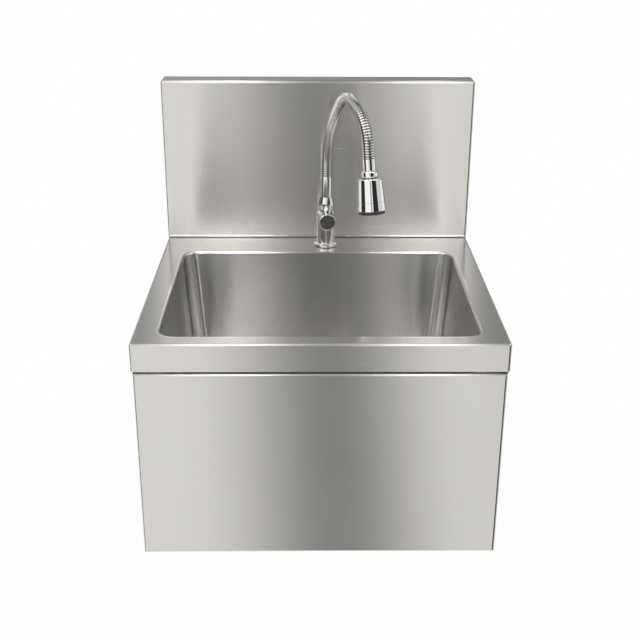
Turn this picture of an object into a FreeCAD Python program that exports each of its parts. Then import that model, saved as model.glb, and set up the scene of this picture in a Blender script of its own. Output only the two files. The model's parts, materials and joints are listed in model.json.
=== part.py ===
"""Wall-hung stainless hand wash sink with a knee panel and a flexible spout.

Lengths are in millimetres and angles in degrees.  Each piece is laid out in the rim frame: X to the
viewer's right from the middle of the sink, Y back from the front of the apron, Z up from the rim.
seat() then puts it in the part's own frame, whose origin is the middle of the wall rail's fixing
holes on the wall, with +Z up and the front of the sink facing -Y.
"""
import FreeCAD, Part
import math
import os

import Sketcher
from FreeCAD import Placement, Rotation, Vector

SIZES = [
    # pressed and folded sheet
    ("sheet", 1.2, "thickness of the stainless sheet"),
    ("bend", 3.0, "outer radius of a fold"),
    ("rim_width", 400.0, "width over the rim"),
    ("basin_depth", 350.0, "front of the apron to the face of the backsplash"),
    ("splash_thick", 35.0, "face of the backsplash to the wall"),
    ("splash_height", 208.0, "top of the backsplash above the rim"),
    ("splash_rear_lap", 26.0, "hook flange that hangs from the top at the back"),
    ("splash_side_lap", 16.0, "flange down each side at the back"),
    ("apron", 32.0, "height of the folded edge below the rim"),
    # bowl
    ("opening_width", 351.0, "opening in the rim, side to side"),
    ("opening_length", 278.0, "opening in the rim, front to back"),
    ("opening_front", 17.5, "front lip of the rim"),
    ("opening_corner", 20.0, "corner radius of the opening"),
    ("lip", 4.0, "bowl flange from its wall to the weld with the rim"),
    ("bowl_depth", 150.0, "rim to the floor of the bowl"),
    ("bowl_draft", 12.0, "how far each wall leans in over the depth"),
    ("bowl_floor_bend", 13.0, "radius between wall and floor"),
    ("sump_radius", 56.0, "edge of the pressed fall round the waste"),
    ("sump_depth", 3.0, "depth of the fall"),
    ("sump_seat", 36.0, "flat seat round the waste hole"),
    ("waste_hole", 22.0, "radius of the hole for the waste"),
    # side cheeks, wall rail and rear brace
    ("cheek_front", 24.0, "front edge of a cheek behind the apron"),
    ("cheek_flange", 14.0, "width of the flanges of a cheek"),
    ("skirt_drop", 258.0, "rim to the lower edge of cheeks and panel"),
    ("rail_length", 330.0, "length of the wall rail"),
    ("rail_thick", 2.0, "thickness of the rail and the valve bracket"),
    ("rail_plate", 42.0, "height of the rail's plate"),
    ("rail_lip", 14.0, "height of the lip that holds the hook flange"),
    ("rail_gap", 0.3, "gap between hook flange and lip"),
    ("rail_rise", 158.0, "fixing holes of the rail above the rim"),
    ("fixing_spacing", 260.0, "distance between wall fixing holes"),
    ("fixing_hole", 3.5, "radius of a wall fixing hole"),
    ("brace_height", 30.0, "height of the rear brace"),
    ("brace_flange", 18.0, "depth of its flange"),
    ("brace_lift", 2.0, "brace above the lower edge of the cheeks"),
    # knee panel
    ("panel_inset", 2.0, "side of the rim to the side of the panel"),
    ("panel_play", 0.8, "gap between a flange of the panel and its cheek"),
    ("panel_gap", 2.5, "gap between apron and panel"),
    ("panel_flange", 40.0, "depth of its side flanges"),
    ("panel_return", 15.0, "depth of its top and bottom returns"),
    ("panel_notch", 7.0, "relief at each end of the bottom return"),
    ("panel_notch_front", 8.0, "what the relief leaves of the return"),
    ("hinge_back", 28.0, "hinge behind the face of the panel"),
    ("hinge_drop", 48.0, "hinge below the rim"),
    ("hinge_pin", 3.0, "radius of a hinge pin"),
    ("bush_wall", 1.45, "wall of a hinge bush"),
    ("bush_flange", 7.0, "radius of its flange"),
    ("bush_flange_thick", 0.6, "thickness of its flange"),
    ("fit", 0.05, "running clearance on a radius"),
    ("slack", 0.1, "clearance of a screw or thread on a radius"),
    ("part_gap", 0.3, "gap between pieces that move past each other"),
    ("pin_head", 5.0, "radius of the head of a hinge pin or stop screw"),
    ("pin_head_thick", 1.7, "thickness of that head"),
    ("pin_gap", 0.2, "gap between flange and head"),
    ("pin_length", 14.0, "shank of a pin below its head"),
    ("stop_screw", 2.5, "radius of a stop screw"),
    ("stop_drop", 238.0, "stop screws below the rim"),
    ("stop_travel", 13.9, "stroke of the panel at the stop screws"),
    ("stop_slot_half", 3.6, "half height of the slot in the panel's flange"),
    ("small_nut", 5.2, "corner radius of a small nut"),
    ("small_nut_thick", 4.0, "thickness of a small nut"),
    ("stiffener_width", 360.0, "length of the stiffener behind the panel"),
    ("stiffener_height", 40.0, "height of the stiffener"),
    ("stiffener_depth", 8.0, "depth of the stiffener"),
    ("pad_radius", 14.0, "radius of the push pad"),
    ("pad_thick", 4.0, "thickness of the push pad"),
    # valve and its bracket
    ("valve_x", -92.0, "valve to the left of the middle"),
    ("valve_drop", 205.0, "valve axis below the rim"),
    ("web_back", 70.0, "front of the bracket's web behind the apron"),
    ("bracket_depth", 22.0, "depth of the bracket"),
    ("bracket_height", 58.0, "height of the bracket"),
    ("bracket_screw", 2.5, "radius of a bracket screw"),
    ("bracket_screw_head", 4.7, "radius of its head"),
    ("bracket_screw_head_thick", 2.4, "thickness of its head"),
    ("bracket_screw_length", 12.0, "length of its shank"),
    ("bracket_screw_pitch", 32.0, "height between two bracket screws"),
    ("valve_neck", 13.2, "radius of the valve's threaded neck"),
    ("valve_neck_front", 10.0, "neck in front of the web"),
    ("valve_shoulder", 6.0, "shoulder behind the front of the web"),
    ("valve_radius", 18.0, "radius of the valve body"),
    ("valve_end", 60.0, "back of the valve body behind the web"),
    ("valve_chamber", 11.0, "radius of the chamber"),
    ("valve_chamber_end", 50.0, "end of the chamber behind the web"),
    ("outlet_radius", 8.3, "radius of the outlet's thread"),
    ("outlet_length", 12.0, "length of the outlet"),
    ("inlet_radius", 10.48, "radius of the inlet's thread, G1/2"),
    ("inlet_thread", 17.0, "length of that thread"),
    ("inlet_neck", 9.6, "radius of the inlet above its thread"),
    ("inlet_bore", 7.0, "radius of the inlet's bore"),
    ("inlet_back", 35.0, "inlet axis behind the front of the web"),
    ("inlet_length", 38.0, "inlet's end below the valve axis"),
    ("bonnet_radius", 16.0, "radius of the bonnet"),
    ("bonnet_thick", 6.0, "front wall of the bonnet"),
    ("bonnet_skirt", 4.0, "bonnet over the neck"),
    ("lock_nut", 19.0, "corner radius of a lock nut"),
    ("lock_nut_thick", 3.8, "thickness of the rear lock nut"),
    ("stem", 6.0, "radius of the plunger's stem"),
    ("plunger_gap", 0.3, "gap between push pad and plunger"),
    ("tip_edge", 2.5, "how far back the domed tip of the plunger starts"),
    ("piston", 10.5, "radius of the piston"),
    ("piston_thick", 6.0, "thickness of the piston"),
    ("tail", 3.5, "radius of the plunger's tail"),
    ("tail_length", 40.0, "length of the tail"),
    ("seal_thick", 2.5, "thickness of the piston's seal"),
    ("plunger_travel", 11.2, "stroke of the plunger"),
    ("spring_radius", 9.5, "outer radius of the spring"),
    ("spring_wire", 1.5, "thickness of the spring's wire"),
    # pipe from valve to tap
    ("pipe_radius", 5.0, "outer radius of the copper pipe"),
    ("pipe_wall", 0.8, "wall of the pipe"),
    ("pipe_bend", 28.0, "bend radius of the pipe"),
    ("pipe_inset", 8.0, "pipe inside a fitting"),
    ("pipe_turn_drop", 115.0, "upper bend of the pipe below the rim"),
    ("olive_thick", 4.0, "length of an olive"),
    ("pipe_nut_end", 6.0, "end wall of a pipe nut"),
    ("lower_pipe_nut", 12.0, "corner radius of the lower pipe nut"),
    ("upper_pipe_nut", 14.4, "corner radius of the upper pipe nut"),
    # tap
    ("tap_x", 10.5, "tap to the right of the middle"),
    ("tap_back", 320.0, "tap axis behind the front of the apron"),
    ("tap_hole", 11.0, "radius of the tap hole"),
    ("shank", 10.4, "radius of the tap's threaded shank"),
    ("shank_bore", 5.2, "bore of the shank"),
    ("shank_drop", 58.0, "shank below the rim"),
    ("shank_socket", 13.0, "depth of the shank in the body"),
    ("gasket", 1.0, "thickness of the gasket under the tap"),
    ("gasket_radius", 15.0, "radius of the gasket"),
    ("flange_radius", 15.6, "radius of the cover flange"),
    ("flange_height", 4.5, "height of the cover flange"),
    ("flange_chamfer", 1.6, "bevel of the cover flange"),
    ("tap_radius", 11.8, "radius of the tap body"),
    ("tap_shoulder", 46.0, "shoulder of the tap body above the rim"),
    ("tap_dome", 3.0, "rounding of the shoulder"),
    ("neck_radius", 8.4, "radius of the neck"),
    ("neck_top", 57.0, "top of the neck above the rim"),
    ("spout_bore", 5.6, "bore of the body that holds the spout"),
    ("tap_turn", 3.5, "front of the tap turned to the right"),
    ("knob_height", 38.5, "knob axis above the rim"),
    ("knob_radius", 10.7, "radius of the knob and its boss"),
    ("boss_reach", 16.0, "boss in front of the tap axis"),
    ("boss_cavity", 8.6, "radius of the cartridge's seat"),
    ("boss_cavity_depth", 8.0, "depth of the cartridge's seat"),
    ("water_port", 2.0, "radius of the port behind the cartridge"),
    ("spindle", 3.0, "radius of the spindle"),
    ("spindle_socket", 4.6, "depth of the spindle in the cartridge"),
    ("knob_length", 9.2, "length of the knob"),
    ("knob_rim", 1.3, "rim of the knob round its cap"),
    ("knob_recess", 1.9, "depth of the recess for the cap"),
    ("knob_web", 2.4, "web of the knob behind the cap"),
    ("knob_edge", 0.8, "rounding of the knob's rim"),
    ("cap_thick", 1.2, "thickness of the knob's cap"),
    ("ring_washer", 1.5, "thickness of the steel washer"),
    ("under_washer", 2.0, "thickness of the rubber washer below the rim"),
    ("under_washer_radius", 16.0, "radius of both washers"),
    ("backnut", 15.6, "corner radius of the tap's backnut"),
    ("backnut_thick", 8.0, "thickness of the tap's backnut"),
    # spout
    ("swing", 25.7, "spout turned to the right of straight ahead"),
    ("hose_crest", 7.4, "radius over the ribs of the hose"),
    ("hose_root", 6.3, "radius between the ribs"),
    ("hose_bore", 5.1, "bore of the hose"),
    ("rib_pitch", 3.0, "distance from rib to rib"),
    ("hose_start", 92.0, "lower end of the hose above the rim"),
    ("rise_radius", 118.0, "bend radius of the rising part"),
    ("rise_angle", 48.7, "turn of the rising part"),
    ("crown_radius", 26.0, "bend radius of the crown"),
    ("crown_angle", 53.2, "turn of the crown"),
    ("fall_radius", 57.6, "bend radius of the falling part"),
    ("fall_angle", 68.2, "turn of the falling part"),
    ("sleeve", 7.5, "radius of the plain sleeves"),
    ("sleeve_bore", 5.0, "bore of the plain sleeves"),
    ("spigot", 5.5, "radius of the spigot in the body"),
    ("spigot_bore", 3.8, "bore of the spigot"),
    ("spigot_length", 10.3, "length of the spigot"),
    ("collar", 8.35, "radius of the collar that holds the spout"),
    ("collar_thick", 2.2, "thickness of the collar"),
    ("groove_depth", 1.1, "depth of the ring groove"),
    ("groove_width", 2.0, "width of the ring groove"),
    ("groove_lift", 4.2, "groove above the end of the spigot"),
    ("nut_wide", 10.6, "widest radius of the spout nut"),
    ("nut_foot", 9.4, "radius at the foot of the spout nut"),
    ("nut_low", 50.0, "foot of the spout nut above the rim"),
    ("nut_belt_low", 55.6, "lower edge of its widest belt"),
    ("nut_belt_high", 58.0, "upper edge of its widest belt"),
    ("nut_top", 66.0, "top of the spout nut above the rim"),
    ("nut_mouth", 8.7, "radius at the top of the spout nut"),
    ("tube_radius", 4.9, "outer radius of the inner water tube"),
    ("tube_wall", 1.2, "wall of the inner water tube"),
    ("upper_sleeve_length", 13.3, "length of the upper sleeve"),
    ("swivel_radius", 10.0, "radius of the swivel nut"),
    ("swivel_height", 9.0, "height of the swivel nut"),
    ("swivel_round", 3.0, "rounding of the swivel nut"),
    ("swivel_bore", 5.2, "bore of the swivel nut"),
    ("swivel_port", 4.0, "water way below the swivel nut's seal"),
    ("swivel_floor", 2.4, "floor of the swivel nut"),
    ("head_seal_thick", 2.0, "thickness of the head's seal"),
    # spray head
    ("head_top", 14.4, "radius of the head at its top"),
    ("head_foot", 17.0, "radius of the head at its foot"),
    ("head_height", 38.9, "height of shell and ring"),
    ("head_round", 2.2, "rounding of the head's top"),
    ("shell_height", 27.9, "height of the shell alone"),
    ("shell_roof", 4.0, "roof of the shell"),
    ("shell_inner_top", 11.0, "inner radius below the roof"),
    ("ring_seat", 13.5, "inner radius that carries the ring"),
    ("ring_seat_depth", 9.0, "depth of that seat"),
    ("ring_spigot_length", 6.5, "spigot of the ring inside the shell"),
    ("ring_spigot_wall", 1.9, "wall of the spigot"),
    ("ring_bore", 14.6, "bore of the ring for the face"),
    ("ring_floor", 2.5, "floor of the ring"),
    ("ring_edge", 0.6, "rounding of the ring's lower edge"),
    ("face_thick", 3.2, "thickness of the spray face"),
    ("face_brim", 15.8, "radius of the face's brim below the ring"),
    ("face_proud", 3.8, "thickness of that brim"),
    ("brim_notch", 1.1, "radius of the notches round the brim"),
    ("brim_notch_count", 22, "notches round the brim"),
    ("nozzle", 0.9, "radius of a nozzle"),
    ("nozzle_proud", 1.2, "nozzle below the face"),
    ("inner_ring_radius", 6.0, "radius of the inner ring of nozzles"),
    ("inner_ring_count", 8, "nozzles in the inner ring"),
    ("outer_ring_radius", 11.2, "radius of the outer ring of nozzles"),
    ("outer_ring_count", 14, "nozzles in the outer ring"),
    # waste
    ("waste_thread", 20.95, "radius of the waste's thread, G1 1/4"),
    ("waste_bore", 18.0, "bore of the waste"),
    ("waste_length", 62.0, "waste below the floor of the bowl"),
    ("waste_relief", 3.0, "width of the groove below the waste's backnut"),
    ("waste_relief_depth", 0.8, "depth of that groove"),
    ("waste_relief_gap", 1.0, "backnut to that groove"),
    ("waste_flange", 33.5, "radius of the waste's flange"),
    ("waste_flange_thick", 2.4, "thickness of the waste's flange"),
    ("waste_flange_edge", 1.2, "bevel of the flange"),
    ("waste_gasket", 1.0, "thickness of the upper gasket"),
    ("waste_gasket_radius", 33.0, "radius of both gaskets"),
    ("waste_lower_gasket", 3.0, "thickness of the lower gasket"),
    ("waste_nut", 31.0, "corner radius of the waste's backnut"),
    ("waste_nut_thick", 8.0, "thickness of that nut"),
    ("strainer_radius", 24.8, "radius of the strainer plate"),
    ("strainer_thick", 1.2, "thickness of the strainer plate"),
    ("strainer_hole", 2.3, "radius of a strainer hole"),
    ("strainer_inner", 8.0, "radius of the inner ring of holes"),
    ("strainer_inner_count", 6, "holes in the inner ring"),
    ("strainer_outer", 14.4, "radius of the outer ring of holes"),
    ("strainer_outer_count", 12, "holes in the outer ring"),
    ("bar_width", 6.0, "width of the cross bar"),
    ("bar_height", 5.0, "height of the cross bar"),
    ("bar_drop", 14.0, "underside of the cross bar below the floor"),
    ("waste_screw", 2.1, "radius of the strainer screw"),
    ("waste_screw_head", 4.4, "radius of its head"),
    ("waste_screw_head_thick", 1.6, "thickness of its head"),
]

DOC = FreeCAD.newDocument("hand_wash_sink")
SHEET = DOC.addObject("Spreadsheet::Sheet", "Sizes")
FULL_TURN = 360.0
HALF_TURN = 180.0
QUARTER_TURN = 90.0
NUT_SIDE_COUNT = 6
# how a sketch numbers the points of its lines and arcs
START, END, CENTRE = 1, 2, 3
TINY = 1e-4
NODES = []


class Size:
    """A number together with the expression that works it out from the sheet."""

    def __init__(self, value, text):
        self.value = value
        self.text = text

    def join(self, other, value, sign):
        return Size(value, "(" + self.text + sign + as_size(other).text + ")")

    def __add__(self, other):
        return self.join(other, self.value + as_size(other).value, " + ")

    def __radd__(self, other):
        return as_size(other) + self

    def __sub__(self, other):
        return self.join(other, self.value - as_size(other).value, " - ")

    def __rsub__(self, other):
        return as_size(other) - self

    def __mul__(self, other):
        return self.join(other, self.value * as_size(other).value, " * ")

    def __rmul__(self, other):
        return self * other

    def __truediv__(self, other):
        return self.join(other, self.value / as_size(other).value, " / ")

    def __neg__(self):
        return Size(-self.value, "(0 - " + self.text + ")")

    def __float__(self):
        return float(self.value)


def as_size(value):
    return value if isinstance(value, Size) else Size(float(value), repr(float(value)))


def bind(thing, name, value):
    """Tie a property or a sketch's constraint to the sheet."""
    thing.setExpression(name, as_size(value).text)


class Sizes:
    """The named sizes of the sheet."""


def fill_sheet():
    sizes = Sizes()
    for row, (alias, value, note) in enumerate(SIZES, start=1):
        SHEET.set("A%d" % row, alias)
        SHEET.set("B%d" % row, str(value))
        SHEET.set("C%d" % row, note)
        SHEET.setAlias("B%d" % row, alias)
    DOC.recompute()
    for alias, _, _ in SIZES:
        setattr(sizes, alias, Size(float(SHEET.get(alias)), "Sizes." + alias))
    return sizes


S = fill_sheet()
OVERALL_DEPTH = S.basin_depth + S.splash_thick
PANEL_HALF = S.rim_width / 2 - S.panel_inset
CHEEK_REACH = PANEL_HALF - S.sheet - S.panel_play


def node(piece, label):
    """Name a finished piece and put it on the list of pieces that are kept."""
    piece.Label = label
    NODES.append(piece)
    return piece


def seat(piece, x=0, y=0, z=0):
    """Place a piece by its point in the rim frame."""
    bind(piece, "Placement.Base.x", as_size(x))
    bind(piece, "Placement.Base.y", y - OVERALL_DEPTH)
    bind(piece, "Placement.Base.z", z - S.rail_rise)
    return piece


def turn(piece, axis, angle):
    piece.Placement = Placement(piece.Placement.Base, Rotation(axis, angle))
    return piece


# ---------------------------------------------------------------- sketches and features

def new_body(label):
    body = DOC.addObject("PartDesign::Body", label + "_body")
    return node(body, label)


def new_sketch(body, role, offset=0):
    sketch = body.newObject("Sketcher::SketchObject", body.Label + "_sketch")
    support = [item for item in body.Origin.OriginFeatures if item.Role == role][0]
    sketch.AttachmentSupport = [(support, "")]
    sketch.MapMode = "FlatFace"
    bind(sketch, "AttachmentOffset.Base.z", as_size(offset))
    return sketch


def pin_down(sketch, element, corner, x, y):
    """Tie one point of a sketch to its two coordinates."""
    for axis, kind, value in ((-2, "DistanceX", x), (-1, "DistanceY", y)):
        value = as_size(value)
        if value.value == 0 and "Sizes" not in value.text:
            sketch.addConstraint(Sketcher.Constraint("PointOnObject", element, corner, axis))
            continue
        index = sketch.addConstraint(
            Sketcher.Constraint(kind, -1, START, element, corner, value.value))
        bind(sketch, "Constraints[%d]" % index, value)


def polygon(sketch, points):
    spots = [Vector(float(as_size(x)), float(as_size(y)), 0) for x, y in points]
    first = sketch.GeometryCount
    count = len(spots)
    for i in range(count):
        sketch.addGeometry(Part.LineSegment(spots[i], spots[(i + 1) % count]), False)
    for i in range(count):
        after = first + (i + 1) % count
        sketch.addConstraint(Sketcher.Constraint("Coincident", first + i, END, after, START))
    for i, (x, y) in enumerate(points):
        pin_down(sketch, first + i, START, x, y)


def rectangle(sketch, left, low, right, high):
    polygon(sketch, [(left, low), (right, low), (right, high), (left, high)])


def circle(sketch, x, y, radius):
    centre = Vector(float(as_size(x)), float(as_size(y)), 0)
    element = sketch.addGeometry(Part.Circle(centre, Vector(0, 0, 1), float(radius)), False)
    pin_down(sketch, element, CENTRE, x, y)
    index = sketch.addConstraint(Sketcher.Constraint("Radius", element, radius.value))
    bind(sketch, "Constraints[%d]" % index, radius)


def rounded_rectangle(sketch, half_x, half_y, radius):
    """Four straight sides, each with its own arc into the next one."""
    hx, hy, r = float(half_x), float(half_y), float(radius)
    sides = [((r - hx, -hy), (hx - r, -hy)), ((hx, r - hy), (hx, hy - r)),
             ((hx - r, hy), (r - hx, hy)), ((-hx, hy - r), (-hx, r - hy))]
    centres = [(hx - r, r - hy), (hx - r, hy - r), (r - hx, hy - r), (r - hx, r - hy)]
    lines, arcs = [], []
    for i in range(4):
        start, end = sides[i]
        lines.append(sketch.addGeometry(
            Part.LineSegment(Vector(*start, 0), Vector(*end, 0)), False))
        round_off = Part.Circle(Vector(*centres[i], 0), Vector(0, 0, 1), r)
        begin = math.radians(QUARTER_TURN * (i - 1))
        arcs.append(sketch.addGeometry(
            Part.ArcOfCircle(round_off, begin, begin + math.pi / 2), False))
    for i in range(4):
        following = lines[(i + 1) % 4]
        sketch.addConstraint(Sketcher.Constraint("Tangent", lines[i], END, arcs[i], START))
        sketch.addConstraint(Sketcher.Constraint("Tangent", arcs[i], END, following, START))
        kind = "Horizontal" if i % 2 == 0 else "Vertical"
        sketch.addConstraint(Sketcher.Constraint(kind, lines[i]))
        if i:
            sketch.addConstraint(Sketcher.Constraint("Equal", arcs[0], arcs[i]))
    limits = [("Radius", (arcs[0],), radius),
              ("DistanceY", (-1, START, lines[0], START), -half_y),
              ("DistanceX", (-1, START, lines[1], START), as_size(half_x)),
              ("DistanceY", (-1, START, lines[2], START), as_size(half_y)),
              ("DistanceX", (-1, START, lines[3], START), -half_x)]
    for kind, where, value in limits:
        index = sketch.addConstraint(Sketcher.Constraint(kind, *where, value.value))
        bind(sketch, "Constraints[%d]" % index, value)


def solid_feature(body, kind, sketch, length, upside_down=False):
    feature = body.newObject("PartDesign::" + kind, body.Label + "_" + kind.lower())
    feature.Profile = sketch
    bind(feature, "Length", length)
    feature.Reversed = upside_down
    sketch.Visibility = False
    DOC.recompute()
    return feature


def pad(body, sketch, length, upside_down=False):
    return solid_feature(body, "Pad", sketch, length, upside_down)


def pocket(body, sketch, length, upside_down=False):
    """A pocket has to take something away, whichever way it points."""
    before = body.Shape.Volume
    feature = solid_feature(body, "Pocket", sketch, length, upside_down)
    if feature.Shape.Volume > before - TINY:
        raise RuntimeError(body.Label + ": a pocket cuts nothing")
    return feature


def revolve(body, sketch, kind="Revolution"):
    feature = body.newObject("PartDesign::" + kind, body.Label + "_" + kind.lower())
    feature.Profile = sketch
    feature.ReferenceAxis = (sketch, ["V_Axis"])
    feature.Angle = FULL_TURN
    DOC.recompute()
    return feature


def loft(body, kind, sections):
    feature = body.newObject("PartDesign::" + kind, body.Label + "_" + kind.lower())
    feature.Profile = sections[0]
    feature.Sections = sections[1:]
    feature.Ruled = True
    DOC.recompute()
    return feature


def round_edges(body, radius, wanted):
    """Round each edge of the body's last feature that wanted() picks by its bounding box."""
    last = body.Tip
    names = ["Edge%d" % (i + 1) for i, edge in enumerate(last.Shape.Edges)
             if wanted(edge.BoundBox)]
    feature = body.newObject("PartDesign::Fillet", body.Label + "_round")
    feature.Base = (last, names)
    bind(feature, "Radius", radius)
    DOC.recompute()
    return feature


def shell(body, thickness, wanted):
    """Leave a wall of the given thickness, open at the faces that wanted() picks."""
    last = body.Tip
    names = ["Face%d" % (i + 1) for i, face in enumerate(last.Shape.Faces)
             if wanted(face.BoundBox)]
    feature = body.newObject("PartDesign::Thickness", body.Label + "_sheet")
    feature.Base = (last, names)
    feature.Reversed = True
    feature.Join = "Arc"
    bind(feature, "Value", thickness)
    DOC.recompute()
    return feature


def near(value, target, within=0.02):
    return abs(value - float(target)) < within


def is_ring_at(height, radius):
    """Picks the round edges of a turned piece by their height and radius."""
    return lambda box: (near(box.ZMin, height) and near(box.ZMax, height)
                        and near(box.XMax, radius))


def turned(label, points):
    """A piece turned about its own Z axis from a half section of (radius, height) points."""
    body = new_body(label)
    sketch = new_sketch(body, "XZ_Plane")
    polygon(sketch, points)
    revolve(body, sketch)
    return body


def ring(label, inner, outer, low, high):
    return turned(label, [(inner, low), (outer, low), (outer, high), (inner, high)])


# ---------------------------------------------------------------- plain solids

def put(solid, x, y, z):
    bind(solid, "Placement.Base.x", as_size(x))
    bind(solid, "Placement.Base.y", as_size(y))
    bind(solid, "Placement.Base.z", as_size(z))
    return solid


def block(x, y, z):
    """A box from its (low, high) pairs along the three axes."""
    solid = DOC.addObject("Part::Box", "block")
    for name, (low, high) in (("Length", x), ("Width", y), ("Height", z)):
        bind(solid, name, as_size(high) - low)
    return put(solid, x[0], y[0], z[0])


def rod_along_x(radius, x, y, z):
    """A round bar along X from its (low, high) pair."""
    solid = DOC.addObject("Part::Cylinder", "rod")
    solid.Placement.Rotation = Rotation(Vector(0, 1, 0), QUARTER_TURN)
    bind(solid, "Radius", radius)
    bind(solid, "Height", as_size(x[1]) - x[0])
    return put(solid, x[0], y, z)


def rod_along_y(radius, x, y, z):
    """A round bar along Y from its (low, high) pair."""
    solid = DOC.addObject("Part::Cylinder", "rod")
    solid.Placement.Rotation = Rotation(Vector(1, 0, 0), -QUARTER_TURN)
    bind(solid, "Radius", radius)
    bind(solid, "Height", as_size(y[1]) - y[0])
    return put(solid, x, y[0], z)


def rod(radius, x, y, z):
    """A round bar along Z from its (low, high) pair."""
    solid = DOC.addObject("Part::Cylinder", "rod")
    bind(solid, "Radius", radius)
    bind(solid, "Height", as_size(z[1]) - z[0])
    return put(solid, x, y, z[0])


def hex_bar(corner, height):
    """A six-sided bar that stands on its own origin."""
    solid = DOC.addObject("Part::Prism", "hexagon")
    solid.Polygon = NUT_SIDE_COUNT
    bind(solid, "Circumradius", corner)
    bind(solid, "Height", height)
    return solid


def joined(parts):
    whole = DOC.addObject("Part::MultiFuse", "joined")
    whole.Shapes = parts
    return whole


def cut(base, tools):
    result = DOC.addObject("Part::Cut", "cut")
    result.Base = base
    result.Tool = joined(tools) if len(tools) > 1 else tools[0]
    return result


def mirrored(source):
    """The same piece on the other side of the sink."""
    other = DOC.addObject("Part::Mirroring", "mirrored")
    other.Source = source
    other.Normal = (1, 0, 0)
    other.Base = (0, 0, 0)
    return other


def group(parts):
    whole = DOC.addObject("Part::Compound", "group")
    whole.Links = parts
    return whole


def both_sides(solid):
    return group([solid, mirrored(solid)])


# ---------------------------------------------------------------- folded sheet

def make_deck():
    """Rim, aprons and tap deck, folded from one sheet."""
    half = S.rim_width / 2
    body = new_body("deck_top")
    blank = new_sketch(body, "XY_Plane")
    rectangle(blank, -half, 0, half, OVERALL_DEPTH)
    pad(body, blank, S.apron, upside_down=True)
    round_edges(body, S.bend,
                lambda box: near(box.ZMax, 0) and not near(box.YMin, OVERALL_DEPTH))
    shell(body, S.sheet, lambda box: near(box.ZMax, -S.apron) or near(box.YMin, OVERALL_DEPTH))

    opening = new_sketch(body, "XY_Plane")
    side = S.opening_width / 2
    rectangle(opening, -side, S.opening_front, side, S.opening_front + S.opening_length)
    pocket(body, opening, S.bend)
    round_edges(body, S.opening_corner,
                lambda box: near(box.XMin, box.XMax) and near(box.YMin, box.YMax)
                and near(abs(box.XMin), side))

    hole = new_sketch(body, "XY_Plane")
    circle(hole, S.tap_x, S.tap_back, S.tap_hole)
    pocket(body, hole, S.bend)
    seat(body)


def drawn_form(body, half_x, half_y, corner, floor, bend):
    """A tapered block with rounded corners and a rounded floor, below the rim."""
    sections = [new_sketch(body, "XY_Plane", height) for height in (as_size(0), floor)]
    rounded_rectangle(sections[0], half_x, half_y, corner)
    rounded_rectangle(sections[1], half_x - S.bowl_draft, half_y - S.bowl_draft, corner)
    loft(body, "AdditiveLoft", sections)
    round_edges(body, bend, lambda box: near(box.ZMax, floor))


def make_bowl():
    """Deep-drawn bowl, welded flush into the rim by its narrow flange."""
    body = new_body("bowl")
    half_x = S.opening_width / 2
    half_y = S.opening_length / 2
    wall_x, wall_y = half_x - S.lip, half_y - S.lip
    corner = S.opening_corner - S.lip
    floor = -S.bowl_depth
    sheet = S.sheet

    drawn_form(body, wall_x + sheet, wall_y + sheet, corner + sheet, floor - sheet,
               S.bowl_floor_bend + sheet)
    hollow = DOC.addObject("PartDesign::Body", "bowl_hollow")
    drawn_form(hollow, wall_x, wall_y, corner, floor, S.bowl_floor_bend)
    boolean = body.newObject("PartDesign::Boolean", "bowl_cut")
    boolean.Type = "Cut"
    boolean.setObjects([hollow])
    DOC.recompute()

    flange = new_sketch(body, "XY_Plane")
    rounded_rectangle(flange, half_x, half_y, S.opening_corner)
    rounded_rectangle(flange, wall_x, wall_y, corner)
    pad(body, flange, sheet, upside_down=True)

    def around_wall(box, reach):
        return (abs(box.Center.x) + box.XLength / 2 < float(wall_x) + reach
                and abs(box.Center.y) + box.YLength / 2 < float(wall_y) + reach)

    round_edges(body, S.bend - sheet,
                lambda box: near(box.ZMin, -sheet) and near(box.ZMax, -sheet)
                and around_wall(box, float(sheet) + TINY) and not around_wall(box, TINY))
    round_edges(body, S.bend,
                lambda box: near(box.ZMin, 0) and around_wall(box, TINY))

    fall = new_sketch(body, "XZ_Plane")
    polygon(fall, [(0, floor - sheet / 2), (S.sump_radius, floor - sheet / 2),
                   (S.sump_radius, floor - sheet), (S.sump_seat + sheet, floor - S.sump_depth - sheet),
                   (0, floor - S.sump_depth - sheet)])
    revolve(body, fall)
    dish = new_sketch(body, "XZ_Plane")
    polygon(dish, [(0, floor), (S.sump_radius, floor), (S.sump_seat, floor - S.sump_depth),
                   (0, floor - S.sump_depth)])
    revolve(body, dish, "Groove")
    hole = new_sketch(body, "XY_Plane", floor)
    circle(hole, 0, 0, S.waste_hole)
    pocket(body, hole, S.sump_depth + 2 * sheet)
    seat(body, y=S.opening_front + half_y)


def make_backsplash():
    """Boxed upstand: face, top and ends from one sheet, open to the wall."""
    half = S.rim_width / 2
    sheet = S.sheet
    body = new_body("backsplash")
    outline = new_sketch(body, "XY_Plane")
    rectangle(outline, -half, S.basin_depth, half, OVERALL_DEPTH)
    pad(body, outline, S.splash_height)
    round_edges(body, S.bend, lambda box: box.ZMax > float(S.splash_height) - TINY)

    shell(body, sheet, lambda box: near(box.ZMax, 0))

    window = new_sketch(body, "XZ_Plane", -OVERALL_DEPTH)
    rectangle(window, S.splash_side_lap - half, 0, half - S.splash_side_lap,
              S.splash_height - S.splash_rear_lap)
    pocket(body, window, sheet, upside_down=True)
    seat(body)


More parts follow.
